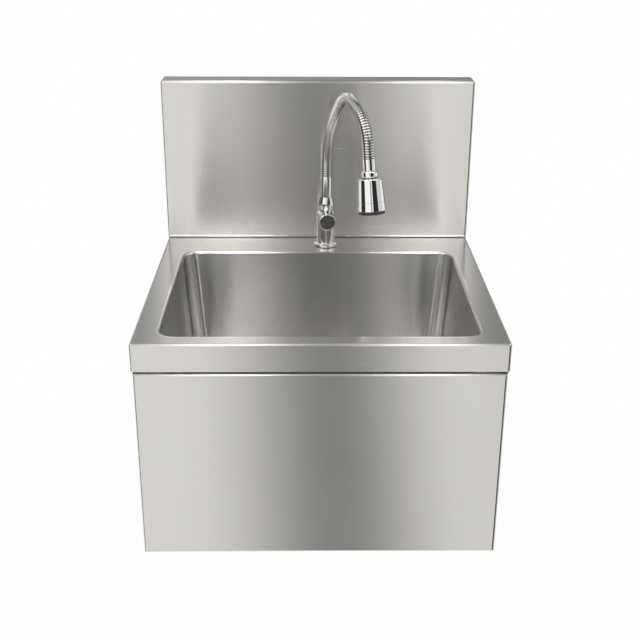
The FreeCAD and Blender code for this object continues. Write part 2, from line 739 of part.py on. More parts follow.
def make_cheeks():
    """Left and right side plates that carry the knee panel and the valve's bracket."""
    sheet = S.sheet
    outer = -CHEEK_REACH
    inner = S.cheek_flange - CHEEK_REACH
    back = OVERALL_DEPTH - sheet
    plate = block((outer, inner), (S.cheek_front, back), (-S.skirt_drop, -sheet))
    spare = block((outer + sheet, inner + sheet), (S.cheek_front - sheet, back - sheet),
                  (-S.skirt_drop - sheet, -2 * sheet))
    through = (outer - sheet, inner)
    holes = [rod_along_x(S.hinge_pin + S.slack, through, S.hinge_back, -S.hinge_drop),
             rod_along_x(S.stop_screw + S.slack, through, S.hinge_back, -S.stop_drop)]
    for y, z in bracket_screw_spots():
        holes.append(rod_along_x(S.bracket_screw + S.slack, through, y, z))
    left = cut(plate, [spare] + holes)
    seat(node(left, "left_cheek"))
    seat(node(mirrored(cut(plate, [spare] + holes)), "right_cheek"))


def bracket_screw_spots():
    middle = S.web_back + S.bracket_depth / 2
    half = S.bracket_screw_pitch / 2
    return [(middle, -S.valve_drop - half), (middle, half - S.valve_drop)]


def make_wall_rail():
    """Rail that is fixed to the wall first; the backsplash's flange hooks behind its lip."""
    half = S.rail_length / 2
    shelf = S.splash_height - S.splash_rear_lap
    lip_back = OVERALL_DEPTH - S.sheet - S.rail_gap
    plate = block((-half, half), (OVERALL_DEPTH - S.rail_thick, OVERALL_DEPTH),
                  (shelf - S.rail_plate, shelf))
    web = block((-half, half), (lip_back - S.rail_thick, OVERALL_DEPTH),
                (shelf - S.rail_thick, shelf))
    lip = block((-half, half), (lip_back - S.rail_thick, lip_back),
                (shelf - S.rail_thick, shelf + S.rail_lip))
    rail = cut(joined([plate, web, lip]), fixing_holes(S.rail_rise, S.rail_thick))
    seat(node(rail, "wall_rail"))


def fixing_holes(height, depth):
    """The two round holes of a row of wall fixings."""
    half = S.fixing_spacing / 2
    span = (OVERALL_DEPTH - 2 * depth, OVERALL_DEPTH + depth)
    return [rod_along_y(S.fixing_hole, x, span, height) for x in (-half, half)]


def make_rear_brace():
    """Angle across the back that ties the cheeks together and takes the lower fixings."""
    low = S.brace_lift - S.skirt_drop
    high = low + S.brace_height
    wide = CHEEK_REACH - S.sheet
    narrow = CHEEK_REACH - S.cheek_flange - S.rail_thick
    back = OVERALL_DEPTH - S.sheet
    plate = block((-wide, wide), (back, OVERALL_DEPTH), (low, high))
    shelf = block((-narrow, narrow), (back - S.brace_flange, OVERALL_DEPTH),
                  (high - S.sheet, high))
    middle = low + S.brace_height / 2
    seat(node(cut(joined([plate, shelf]), fixing_holes(middle, S.sheet)), "rear_brace"))


def make_valve_bracket():
    """Shallow channel between the cheeks with the hole for the valve's neck."""
    half = CHEEK_REACH - S.sheet
    thick = S.rail_thick
    low = -S.valve_drop - S.bracket_height / 2
    high = low + S.bracket_height
    back = S.web_back + S.bracket_depth
    outer = block((-half, half), (S.web_back, back), (low, high))
    inner = block((thick - half, half - thick), (S.web_back + thick, back + thick),
                  (low + thick, high - thick))
    tools = [inner, rod_along_y(S.valve_neck + S.slack, S.valve_x,
                                (S.web_back - thick, S.web_back + 2 * thick), -S.valve_drop)]
    for y, z in bracket_screw_spots():
        tools.append(rod_along_x(S.bracket_screw + S.slack, (-half - thick, half + thick), y, z))
    seat(node(cut(outer, tools), "valve_bracket"))

    screws, nuts = [], []
    face = -CHEEK_REACH
    for y, z in bracket_screw_spots():
        screws.append(joined([
            rod_along_x(S.bracket_screw_head, (face - S.bracket_screw_head_thick, face), y, z),
            rod_along_x(S.bracket_screw, (face, face + S.bracket_screw_length), y, z)]))
        nuts.append(nut_along_x(thick - half, y, z, S.bracket_screw))
    seat(node(both_sides(group(screws)), "bracket_screws"))
    seat(node(both_sides(group(nuts)), "bracket_nuts"))


def nut_along_x(x, y, z, screw):
    """A small hexagon nut whose outer face lies at x on the left-hand side."""
    bar = hex_bar(S.small_nut, S.small_nut_thick)
    bar.Placement.Rotation = Rotation(Vector(0, 1, 0), QUARTER_TURN)
    put(bar, x, y, z)
    span = (x - S.sheet, x + S.small_nut_thick + S.sheet)
    return cut(bar, [rod_along_x(screw + S.fit, span, y, z)])


# ---------------------------------------------------------------- knee panel

def make_knee_panel():
    """Front panel, folded as a shallow tray, that turns on two pins near its top."""
    half = PANEL_HALF
    sheet = S.sheet
    top = -S.apron - S.panel_gap
    low = -S.skirt_drop
    body = new_body("knee_panel")
    blank = new_sketch(body, "XY_Plane", top)
    rectangle(blank, -half, 0, half, S.panel_flange)
    pad(body, blank, top - low, upside_down=True)
    round_edges(body, S.bend, lambda box: box.YMax < TINY)

    tray = new_sketch(body, "XZ_Plane", -S.panel_flange)
    rectangle(tray, sheet - half, low + sheet, half - sheet, top - sheet)
    pocket(body, tray, S.panel_flange - sheet, upside_down=True)
    round_edges(body, S.bend - sheet, lambda box: near(box.YMin, sheet) and near(box.YMax, sheet))

    returns = new_sketch(body, "XZ_Plane", -S.panel_flange)
    rectangle(returns, sheet - half, low - sheet, half - sheet, top + sheet)
    pocket(body, returns, S.panel_flange - S.panel_return, upside_down=True)

    relief = new_sketch(body, "XY_Plane", low)
    inner = half - sheet - S.panel_notch
    for near_end, far_end in ((inner, half - sheet), (sheet - half, -inner)):
        rectangle(relief, near_end, S.panel_notch_front, far_end, S.panel_return + sheet)
    pocket(body, relief, sheet, upside_down=True)

    sides = new_sketch(body, "YZ_Plane", -half - sheet)
    circle(sides, S.hinge_back, -S.hinge_drop, S.hinge_pin + S.fit + S.bush_wall)
    slot_back = S.hinge_back + S.stop_screw + S.part_gap
    slot_front = S.hinge_back - S.stop_screw - S.part_gap - S.stop_travel
    rectangle(sides, slot_front, -S.stop_drop - S.stop_slot_half, slot_back,
              S.stop_slot_half - S.stop_drop)
    pocket(body, sides, 2 * (half + sheet), upside_down=True)
    seat(body)


def make_panel_fittings():
    sheet = S.sheet
    face = sheet + S.stiffener_depth
    half = S.stiffener_width / 2
    low = -S.valve_drop - S.stiffener_height / 2
    high = low + S.stiffener_height
    outer = block((-half, half), (sheet, face), (low, high))
    inner = block((sheet - half, half - sheet), (sheet - S.bend, face - sheet),
                  (low + sheet, high - sheet))
    seat(node(cut(outer, [inner]), "panel_stiffener"))
    disc = rod_along_y(S.pad_radius, 0, (0, S.pad_thick), 0)
    seat(node(disc, "push_pad"), S.valve_x, face, -S.valve_drop)


def make_hinge():
    """Bushes in the panel's flanges, pins and stop screws in the cheeks."""
    outer = -PANEL_HALF
    inner = outer + S.sheet
    y, z = S.hinge_back, -S.hinge_drop
    bore = S.hinge_pin + S.fit
    bush = cut(joined([
        rod_along_x(bore + S.bush_wall, (outer, inner + S.bush_flange_thick / 2), y, z),
        rod_along_x(S.bush_flange, (inner, inner + S.bush_flange_thick), y, z)]),
        [rod_along_x(bore, (outer - S.sheet, inner + S.sheet), y, z)])
    seat(node(both_sides(bush), "hinge_bushes"))

    inside = S.sheet - CHEEK_REACH
    for label, radius, drop in (("hinge", S.hinge_pin, S.hinge_drop),
                                ("stop", S.stop_screw, S.stop_drop)):
        head_inner = outer - S.pin_gap
        pin = joined([
            rod_along_x(S.pin_head, (head_inner - S.pin_head_thick, head_inner), y, -drop),
            rod_along_x(radius, (head_inner, head_inner + S.pin_length), y, -drop)])
        seat(node(both_sides(pin), label + "_pins"))
        seat(node(both_sides(nut_along_x(inside, y, -drop, radius)), label + "_nuts"))


# ---------------------------------------------------------------- valve

def seat_valve(piece):
    """The valve's own Z axis points to the panel, with its zero at the front of the web."""
    turn(piece, Vector(1, 0, 0), QUARTER_TURN)
    return seat(piece, S.valve_x, S.web_back, -S.valve_drop)


def make_valve():
    neck_front = S.valve_neck_front
    body = turned("valve_body", [
        (0, neck_front), (S.valve_neck, neck_front), (S.valve_neck, -S.valve_shoulder),
        (S.valve_radius, -S.valve_shoulder), (S.valve_radius, -S.valve_end),
        (S.outlet_radius, -S.valve_end), (S.outlet_radius, -S.valve_end - S.outlet_length),
        (0, -S.valve_end - S.outlet_length)])
    port = new_sketch(body, "XZ_Plane")
    circle(port, 0, -S.inlet_back, S.inlet_neck)
    pad(body, port, S.inlet_length)
    thread = new_sketch(body, "XZ_Plane", S.inlet_length)
    circle(thread, 0, -S.inlet_back, S.inlet_radius)
    pad(body, thread, S.inlet_thread, upside_down=True)
    chamber = new_sketch(body, "XZ_Plane")
    way = S.pipe_radius + S.slack
    polygon(chamber, [
        (0, neck_front), (S.valve_chamber, neck_front), (S.valve_chamber, -S.valve_chamber_end),
        (way, -S.valve_chamber_end), (way, -S.valve_end - S.outlet_length),
        (0, -S.valve_end - S.outlet_length)])
    revolve(body, chamber, "Groove")
    bore = new_sketch(body, "XZ_Plane", S.inlet_length)
    circle(bore, 0, -S.inlet_back, S.inlet_bore)
    pocket(body, bore, S.inlet_length)
    seat_valve(body)

    guide = S.stem + S.fit
    over_neck = S.valve_neck + S.fit
    seat_valve(turned("valve_bonnet", [
        (guide, neck_front), (over_neck, neck_front), (over_neck, neck_front - S.bonnet_skirt),
        (S.bonnet_radius, neck_front - S.bonnet_skirt),
        (S.bonnet_radius, neck_front + S.bonnet_thick), (guide, neck_front + S.bonnet_thick)]))

    make_plunger()
    front_thick = neck_front - S.bonnet_skirt
    nuts = []
    for low, thick in ((as_size(0), front_thick),
                       (-S.rail_thick - S.lock_nut_thick, S.lock_nut_thick)):
        bar = put(hex_bar(S.lock_nut, thick), 0, 0, low)
        nuts.append(cut(bar, [rod(over_neck, 0, 0, (low - thick, low + 2 * thick))]))
    seat_valve(node(group(nuts), "valve_lock_nuts"))


def make_plunger():
    """Push rod and piston, with the seal and the spring behind it."""
    tip = S.web_back - S.sheet - S.stiffener_depth - S.pad_thick - S.plunger_gap
    front = S.valve_neck_front - S.part_gap
    back = front - S.piston_thick
    seat_valve(turned("valve_plunger", [
        (0, tip), (S.stem / 2, tip - S.tip_edge / 5), (S.stem, tip - S.tip_edge),
        (S.stem, front), (S.piston, front), (S.piston, back), (S.tail, back),
        (S.tail, back - S.tail_length), (0, back - S.tail_length)]))
    seal_back = back - S.seal_thick
    seat_valve(ring("valve_seal", S.tail + S.fit, S.piston + S.fit, seal_back, back))
    # the spring has the length that it has when the panel is pushed right in
    seat_valve(ring("valve_spring", S.spring_radius - 2 * S.spring_wire, S.spring_radius,
                    S.part_gap - S.valve_chamber_end, seal_back - S.plunger_travel - S.part_gap))


# ---------------------------------------------------------------- pipes and hoses

def path_through(points, radius):
    """Straight runs joined by tangent arcs of one radius."""
    edges = []
    start = points[0]
    for i in range(1, len(points) - 1):
        before = (points[i - 1] - points[i]).normalize()
        after = (points[i + 1] - points[i]).normalize()
        half = before.getAngle(after) / 2
        reach = radius / math.tan(half)
        enter = points[i] + before * reach
        leave = points[i] + after * reach
        middle = points[i] + (before + after).normalize() * (radius / math.sin(half) - radius)
        edges += [Part.LineSegment(start, enter).toShape(),
                  Part.Arc(enter, middle, leave).toShape()]
        start = leave
    edges.append(Part.LineSegment(start, points[-1]).toShape())
    return Part.Wire(edges)


def swept(path, radius):
    """A round bar along a path."""
    start = path.OrderedVertexes[0].Point
    heading = path.OrderedEdges[0].tangentAt(path.OrderedEdges[0].FirstParameter)
    section = Part.Wire([Part.Circle(start, heading, radius).toShape()])
    bar = path.makePipeShell([section], True, False)
    length_error = bar.Volume / (math.pi * radius ** 2 * path.Length) - 1
    if abs(length_error) > 0.01:
        raise RuntimeError("a swept bar has the wrong volume")
    return bar


def as_feature(label, shape, place):
    piece = DOC.addObject("Part::Feature", label)
    piece.Shape = shape
    piece.Placement = place
    return node(piece, label)


def rim_frame():
    return Placement(Vector(0, -float(OVERALL_DEPTH), -float(S.rail_rise)), Rotation())


def make_pipe():
    """Copper pipe from the back of the valve up to the shank of the tap."""
    valve_end = S.web_back + S.valve_end + S.outlet_length
    stations = [(S.valve_x, valve_end - S.pipe_inset, -S.valve_drop),
                (S.valve_x, S.tap_back, -S.valve_drop),
                (S.tap_x, S.tap_back, -S.pipe_turn_drop),
                (S.tap_x, S.tap_back, S.pipe_inset - S.shank_drop)]
    path = path_through([Vector(*map(float, spot)) for spot in stations], float(S.pipe_bend))
    radius = float(S.pipe_radius)
    pipe = swept(path, radius).cut(swept(path, radius - float(S.pipe_wall)))
    as_feature("supply_pipe", pipe, rim_frame())

    grip = S.pipe_radius + S.slack
    end = -S.valve_end - S.outlet_length - S.olive_thick
    thread = S.outlet_radius + S.fit
    low = end - S.pipe_nut_end
    bar = put(hex_bar(S.lower_pipe_nut, S.pipe_nut_end + S.olive_thick + S.pipe_inset), 0, 0, low)
    nut = cut(bar, [rod(grip, 0, 0, (low - S.sheet, end + S.sheet)),
                    rod(thread, 0, 0, (end, S.sheet - S.valve_end))])
    seat_valve(node(nut, "pipe_nut_lower"))
    seat_valve(ring("olive_lower", S.pipe_radius, S.outlet_radius - S.slack,
                    end, end + S.olive_thick))

    end = -S.shank_drop - S.olive_thick
    low = end - S.pipe_nut_end
    bar = put(hex_bar(S.upper_pipe_nut, S.pipe_nut_end + S.olive_thick + S.pipe_inset), 0, 0, low)
    nut = cut(bar, [rod(grip, 0, 0, (low - S.sheet, end + S.sheet)),
                    rod(S.shank + S.fit, 0, 0, (end, S.sheet - S.shank_drop + S.pipe_inset))])
    seat_tap(node(nut, "pipe_nut_upper"))
    seat_tap(ring("olive_upper", S.pipe_radius, S.outlet_radius - S.slack,
                  end, end + S.olive_thick))


# ---------------------------------------------------------------- tap

def seat_tap(piece, z=0):
    return seat(piece, S.tap_x, S.tap_back, as_size(z))


def seat_knob(piece):
    """The knob's own Z axis points to the viewer, with its zero on the tap's axis."""
    heading = Rotation(Vector(0, 0, 1), float(S.tap_turn))
    piece.Placement.Rotation = heading.multiply(Rotation(Vector(1, 0, 0), QUARTER_TURN))
    return seat_tap(piece, S.knob_height)


def make_tap():
    seat_tap(ring("tap_gasket", S.shank + S.slack, S.gasket_radius, 0, S.gasket))
    flange_top = S.gasket + S.flange_height
    seat_tap(turned("tap_flange", [
        (S.tap_radius + S.fit, S.gasket), (S.flange_radius, S.gasket),
        (S.flange_radius, flange_top - S.flange_chamfer),
        (S.flange_radius - S.flange_chamfer, flange_top), (S.tap_radius + S.fit, flange_top)]))

    body = turned("tap_body", [
        (0, S.gasket), (S.tap_radius, S.gasket), (S.tap_radius, S.tap_shoulder),
        (S.neck_radius, S.tap_shoulder), (S.neck_radius, S.neck_top), (0, S.neck_top)])
    round_edges(body, S.tap_dome, is_ring_at(S.tap_shoulder, S.tap_radius))
    boss = new_sketch(body, "XZ_Plane")
    circle(boss, 0, S.knob_height, S.knob_radius)
    pad(body, boss, S.boss_reach)
    ways = new_sketch(body, "XZ_Plane")
    socket = S.gasket + S.shank_socket
    polygon(ways, [(0, S.gasket), (S.shank + S.fit, S.gasket), (S.shank + S.fit, socket),
                   (S.spout_bore, socket), (S.spout_bore, S.neck_top), (0, S.neck_top)])
    revolve(body, ways, "Groove")
    cavity = new_sketch(body, "XZ_Plane", S.boss_reach)
    circle(cavity, 0, S.knob_height, S.boss_cavity)
    pocket(body, cavity, S.boss_cavity_depth)
    port = new_sketch(body, "XZ_Plane", S.boss_reach)
    circle(port, 0, S.knob_height, S.water_port)
    pocket(body, port, S.boss_reach)
    seat_tap(turn(body, Vector(0, 0, 1), float(S.tap_turn)))

    seat_tap(ring("tap_shank", S.shank_bore, S.shank, -S.shank_drop, socket - S.slack))
    below = -S.sheet
    seat_tap(ring("tap_rubber_washer", S.shank + S.slack, S.under_washer_radius,
                  below - S.under_washer, below))
    below = below - S.under_washer
    seat_tap(ring("tap_steel_washer", S.shank + S.slack, S.under_washer_radius,
                  below - S.ring_washer, below))
    below = below - S.ring_washer
    bar = put(hex_bar(S.backnut, S.backnut_thick), 0, 0, below - S.backnut_thick)
    hole = rod(S.shank + S.fit, 0, 0, (below - 2 * S.backnut_thick, below + S.backnut_thick))
    seat_tap(node(cut(bar, [hole]), "tap_backnut"))


def make_knob():
    """Ceramic cartridge in the boss, its spindle, and the knob with a dark cap."""
    floor = S.boss_reach - S.boss_cavity_depth
    cartridge_front = S.boss_reach - S.part_gap
    socket = cartridge_front - S.spindle_socket
    hole = S.spindle + S.fit
    radius = S.boss_cavity - S.slack
    seat_knob(turned("cartridge", [
        (0, floor), (radius, floor), (radius, cartridge_front), (hole, cartridge_front),
        (hole, socket), (0, socket)]))

    back = S.boss_reach + S.part_gap
    front = back + S.knob_length
    recess = front - S.knob_recess
    web = recess - S.knob_web
    inner = S.knob_radius - S.knob_rim
    knob = turned("control_knob", [
        (S.spindle, back), (S.knob_radius, back), (S.knob_radius, front), (inner, front),
        (inner, recess), (0, recess), (0, web), (S.spindle, web)])
    round_edges(knob, S.knob_edge, is_ring_at(front, S.knob_radius))
    seat_knob(knob)
    seat_knob(turned("knob_spindle", [
        (0, socket + S.part_gap), (S.spindle, socket + S.part_gap), (S.spindle, web), (0, web)]))
    seat_knob(turned("knob_cap", [
        (0, recess), (inner - S.slack, recess), (inner - S.slack, recess + S.cap_thick / 2),
        (inner - S.knob_rim, recess + S.cap_thick), (0, recess + S.cap_thick)]))


# ---------------------------------------------------------------- spout

def spout_frame():
    """Origin on the rim at the tap's axis, X towards the crown's far side, Z up."""
    base = Vector(float(S.tap_x), float(S.tap_back) - float(OVERALL_DEPTH), -float(S.rail_rise))
    return Placement(base, Rotation(Vector(0, 0, 1), float(S.swing) - QUARTER_TURN))


def seat_spout(piece):
    turn(piece, Vector(0, 0, 1), float(S.swing) - QUARTER_TURN)
    return seat_tap(piece)


def spout_runs():
    """The hose's centre line as (bend radius, turn in radians, length) runs; radius 0 is straight."""
    straight = 2 * float(S.hose_crest)
    runs = [(0.0, 0.0, straight)]
    for radius, angle in ((S.rise_radius, S.rise_angle), (S.crown_radius, S.crown_angle),
                          (S.fall_radius, S.fall_angle)):
        turned_by = math.radians(float(angle))
        runs.append((float(radius), turned_by, float(radius) * turned_by))
    return runs + [(0.0, 0.0, straight)]


def spout_point(distance):
    """Place and heading on the centre line; the heading is measured from straight up."""
    x, z, heading = 0.0, float(S.hose_start), 0.0
    for radius, angle, length in spout_runs():
        step = min(max(distance, 0.0), length)
        if radius:
            turned_by = step / radius
            x += radius * (math.cos(heading) - math.cos(heading + turned_by))
            z += radius * (math.sin(heading + turned_by) - math.sin(heading))
            heading += turned_by
        else:
            x += step * math.sin(heading)
            z += step * math.cos(heading)
        distance -= step
    return Vector(x, 0, z), heading


def spout_length():
    return sum(length for _, _, length in spout_runs())


def spout_ring(distance, radius):
    """A circle square to the centre line; its X axis is the normal of the spout's plane."""
    spot, heading = spout_point(distance)
    across = Vector(0, 1, 0)
    along = Vector(math.sin(heading), 0, math.cos(heading))
    hoop = Part.Circle(Vector(0, 0, 0), Vector(0, 0, 1), radius)
    edge = hoop.toShape()
    edge.Placement = Placement(spot, Rotation(across, along.cross(across), along, "XYZ"))
    return Part.Wire([edge])


def make_hose():
    """Ribbed metal hose: each rib is a ruled loft through four circles."""
    length = spout_length()
    pitch = float(S.rib_pitch)
    count = int(round(length / pitch))
    pitch = length / count
    crest, root = float(S.hose_crest), float(S.hose_root)
    profile = [(0.0, root), (0.3, crest), (0.55, crest), (0.85, root)]
    rings = []
    for i in range(count):
        rings += [spout_ring((i + share) * pitch, radius) for share, radius in profile]
    rings.append(spout_ring(length, root))
    ribbed = Part.makeLoft(rings, True, True)
    bore = swept_spout(float(S.hose_bore), 0.0, 0.0)
    print("hose: %d ribs, %.1f mm long" % (count, length))
    as_feature("gooseneck_hose", ribbed.cut(bore), spout_frame())


def swept_spout(radius, below, beyond):
    """A round bar along the centre line, run on straight below and beyond its ends."""
    edges = []
    spot, heading = spout_point(0.0)
    start = spot - Vector(0, 0, below)
    travelled = 0.0
    for bend, _, length in spout_runs():
        end, heading = spout_point(travelled + length)
        if bend:
            middle, _ = spout_point(travelled + length / 2)
            edges.append(Part.Arc(start, middle, end).toShape())
        else:
            if travelled:
                end = end + Vector(math.sin(heading), 0, math.cos(heading)) * beyond
            edges.append(Part.LineSegment(start, end).toShape())
        start = end
        travelled += length
    return swept(Part.Wire(edges), radius)


def head_frame():
    """Origin at the end of the hose, Z back up the hose."""
    spot, heading = spout_point(spout_length())
    tilt = Rotation(Vector(0, 1, 0), math.degrees(heading) - HALF_TURN)
    return spout_frame().multiply(Placement(spot, tilt))


def seat_head(piece):
    piece.Placement = head_frame()
    return piece


def make_spout():
    spigot_low = S.neck_top + S.part_gap - S.spigot_length
    collar_low = spigot_low + S.spigot_length
    collar_high = collar_low + S.collar_thick
    groove_low = spigot_low + S.groove_lift
    groove_high = groove_low + S.groove_width
    groove = S.spigot - S.groove_depth
    tube_seat = collar_high + S.part_gap
    seat_spout(turned("lower_sleeve", [
        (S.spigot_bore, spigot_low), (S.spigot, spigot_low), (S.spigot, groove_low),
        (groove, groove_low), (groove, groove_high), (S.spigot, groove_high),
        (S.spigot, collar_low), (S.collar, collar_low), (S.collar, collar_high),
        (S.sleeve, collar_high), (S.sleeve, S.hose_start), (S.sleeve_bore, S.hose_start),
        (S.sleeve_bore, tube_seat), (S.spigot_bore, tube_seat)]))
    seat_spout(ring("spout_o_ring", groove + S.fit, S.spout_bore - S.fit,
                    groove_low + S.slack, groove_high - S.slack))

    roof = collar_high + S.part_gap
    inner = S.neck_radius + S.slack
    mouth = S.sleeve + S.slack
    nut = turned("spout_nut", [
        (inner, S.nut_low), (S.nut_foot, S.nut_low), (S.nut_wide, S.nut_belt_low),
        (S.nut_wide, S.nut_belt_high), (S.nut_mouth, S.nut_top), (mouth, S.nut_top),
        (mouth, roof), (inner, roof)])
    seat_tap(nut)

    below = float(S.hose_start - tube_seat)
    beyond = float(S.upper_sleeve_length + S.swivel_height - S.swivel_floor - S.head_seal_thick)
    radius = float(S.tube_radius)
    tube = swept_spout(radius, below, beyond).cut(
        swept_spout(radius - float(S.tube_wall), below, beyond))
    as_feature("inner_tube", tube, spout_frame())

    sleeve_end = -S.upper_sleeve_length
    seat_head(ring("upper_sleeve", S.sleeve_bore, S.sleeve, sleeve_end, 0))
    nut_end = sleeve_end - S.swivel_height
    seal_low = nut_end + S.swivel_floor
    nut = turned("swivel_nut", [
        (S.swivel_bore, sleeve_end), (S.swivel_radius, sleeve_end), (S.swivel_radius, nut_end),
        (S.swivel_port, nut_end), (S.swivel_port, seal_low), (S.swivel_bore, seal_low)])
    round_edges(nut, S.swivel_round, lambda box: near(box.XMax, S.swivel_radius)
                and near(box.ZMax, box.ZMin))
    seat_head(nut)
    seat_head(ring("head_seal", S.swivel_port, S.swivel_bore - S.slack,
                   seal_low, seal_low + S.head_seal_thick))


def make_spray_head():
    top = -S.upper_sleeve_length - S.swivel_height
    shell_low = top - S.shell_height
    slope = (S.head_foot - S.head_top) / S.head_height
    shell_foot = S.head_top + slope * S.shell_height
    seat_top = shell_low + S.ring_seat_depth
    shell = turned("spray_head", [
        (S.swivel_port, top), (S.head_top, top), (shell_foot, shell_low),
        (S.ring_seat, shell_low), (S.ring_seat, seat_top), (S.shell_inner_top, top - S.shell_roof),
        (S.swivel_port, top - S.shell_roof)])
    round_edges(shell, S.head_round, is_ring_at(top, S.head_top))
    seat_head(shell)

    ring_top = shell_low - S.part_gap
    ring_low = top - S.head_height
    spigot = S.ring_seat - S.slack
    bore = spigot - S.ring_spigot_wall
    floor = ring_top - S.ring_floor
    selector = turned("selector_ring", [
        (bore, ring_top + S.ring_spigot_length), (spigot, ring_top + S.ring_spigot_length),
        (spigot, ring_top), (shell_foot, ring_top), (S.head_foot, ring_low),
        (S.ring_bore, ring_low), (S.ring_bore, floor), (bore, floor)])
    round_edges(selector, S.ring_edge, is_ring_at(ring_low, S.head_foot))
    seat_head(selector)

    face_low = ring_low - S.face_proud
    face_high = face_low + S.face_thick
    nozzle_low = face_low - S.nozzle_proud
    plate = joined([rod(S.ring_bore - S.slack, 0, 0, (face_low, face_high)),
                    rod(S.face_brim, 0, 0, (face_low, ring_low))])
    spots = [(as_size(0), as_size(0))]
    for count, radius in ((S.inner_ring_count, S.inner_ring_radius),
                          (S.outer_ring_count, S.outer_ring_radius)):
        spots += ring_spots(int(float(count)), radius)
    holes = [rod(S.nozzle + S.fit, x, y, (nozzle_low, face_high + S.nozzle_proud))
             for x, y in spots]
    holes += [rod(S.brim_notch, x, y, (nozzle_low, ring_low + S.nozzle_proud))
              for x, y in ring_spots(int(float(S.brim_notch_count)), S.face_brim)]
    seat_head(node(cut(plate, holes), "spray_face"))
    nubs = [rod(S.nozzle, x, y, (nozzle_low, face_high)) for x, y in spots]
    seat_head(node(group(nubs), "spray_nozzles"))


def ring_spots(count, radius):
    """Evenly spaced points on a circle."""
    steps = [2 * math.pi * i / count for i in range(count)]
    return [(radius * math.cos(step), radius * math.sin(step)) for step in steps]


# ---------------------------------------------------------------- waste

def seat_waste(piece):
    """The waste's own zero is the seat in the bowl's floor."""
    return seat(piece, y=S.opening_front + S.opening_length / 2, z=-S.bowl_depth - S.sump_depth)


def make_waste():
    flange_top = S.waste_gasket + S.waste_flange_thick
    recess = flange_top - S.strainer_thick
    seat_edge = S.strainer_radius + S.slack
    gasket_low = -S.sheet - S.waste_lower_gasket
    nut_low = gasket_low - S.waste_nut_thick
    relief_high = nut_low - S.waste_relief_gap
    relief_low = relief_high - S.waste_relief
    relief = S.waste_thread - S.waste_relief_depth
    seat_waste(ring("waste_gasket_upper", S.waste_thread + S.slack, S.waste_gasket_radius,
                    0, S.waste_gasket))
    body = turned("waste_body", [
        (S.waste_bore, -S.waste_length), (S.waste_thread, -S.waste_length),
        (S.waste_thread, relief_low), (relief, relief_low), (relief, relief_high),
        (S.waste_thread, relief_high),
        (S.waste_thread, S.waste_gasket), (S.waste_flange, S.waste_gasket),
        (S.waste_flange, flange_top - S.waste_flange_edge),
        (S.waste_flange - 2 * S.waste_flange_edge, flange_top), (seat_edge, flange_top),
        (seat_edge, recess), (S.waste_bore, recess)])
    bar = new_sketch(body, "XY_Plane", -S.bar_drop)
    reach = S.waste_bore + S.sheet
    rectangle(bar, -reach, -S.bar_width / 2, reach, S.bar_width / 2)
    pad(body, bar, S.bar_height)
    hole = new_sketch(body, "XY_Plane", -S.bar_drop)
    circle(hole, 0, 0, S.waste_screw + S.fit)
    pocket(body, hole, S.bar_height, upside_down=True)
    seat_waste(body)

    plate = rod(S.strainer_radius, 0, 0, (recess, flange_top))
    span = (recess - S.sheet, flange_top + S.sheet)
    holes = [rod(S.waste_screw + S.slack, 0, 0, span)]
    for count, radius in ((S.strainer_inner_count, S.strainer_inner),
                          (S.strainer_outer_count, S.strainer_outer)):
        holes += [rod(S.strainer_hole, x, y, span)
                  for x, y in ring_spots(int(float(count)), radius)]
    seat_waste(node(cut(plate, holes), "strainer_plate"))
    screw = joined([rod(S.waste_screw, 0, 0, (-S.bar_drop, flange_top + S.slack)),
                    rod(S.waste_screw_head, 0, 0,
                        (flange_top, flange_top + S.waste_screw_head_thick))])
    seat_waste(node(screw, "strainer_screw"))

    seat_waste(ring("waste_gasket_lower", S.waste_thread + S.slack, S.waste_gasket_radius,
                    gasket_low, -S.sheet))
    bar = put(hex_bar(S.waste_nut, S.waste_nut_thick), 0, 0, nut_low)
    hole = rod(S.waste_thread + S.fit, 0, 0,
               (nut_low - S.waste_nut_thick, gasket_low + S.waste_nut_thick))
    seat_waste(node(cut(bar, [hole]), "waste_backnut"))


# ---------------------------------------------------------------- check and export

def check_document():
    DOC.recompute()
    for thing in DOC.Objects:
        if "Invalid" in thing.State or "Error" in thing.State:
            raise RuntimeError("%s (%s) is %s" % (thing.Name, thing.Label, thing.State))
    for piece in NODES:
        if piece.Shape.isNull() or not piece.Shape.isValid() or not piece.Shape.Solids:
            raise RuntimeError(piece.Label + " has no valid solid")


def write_pieces():
    os.makedirs("parts", exist_ok=True)
    for piece in NODES:
        piece.Shape.exportStep(os.path.join("parts", piece.Label + ".step"))


def main():
    make_deck()
    make_bowl()
    make_backsplash()
    make_cheeks()
    make_wall_rail()
    make_rear_brace()
    make_valve_bracket()
    make_knee_panel()
    make_panel_fittings()
    make_hinge()
    make_valve()
    make_pipe()
    make_tap()
    make_knob()
    make_hose()
    make_spout()
    make_spray_head()
    make_waste()
    check_document()
    write_pieces()
    print("%d pieces written" % len(NODES))


main()
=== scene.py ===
"""Looks of the wall-hung stainless hand wash sink: brushed sheet, chrome tap, ribbed hose."""
import json
import math

import bpy
from mathutils import Matrix, Vector
from mathutils.kdtree import KDTree

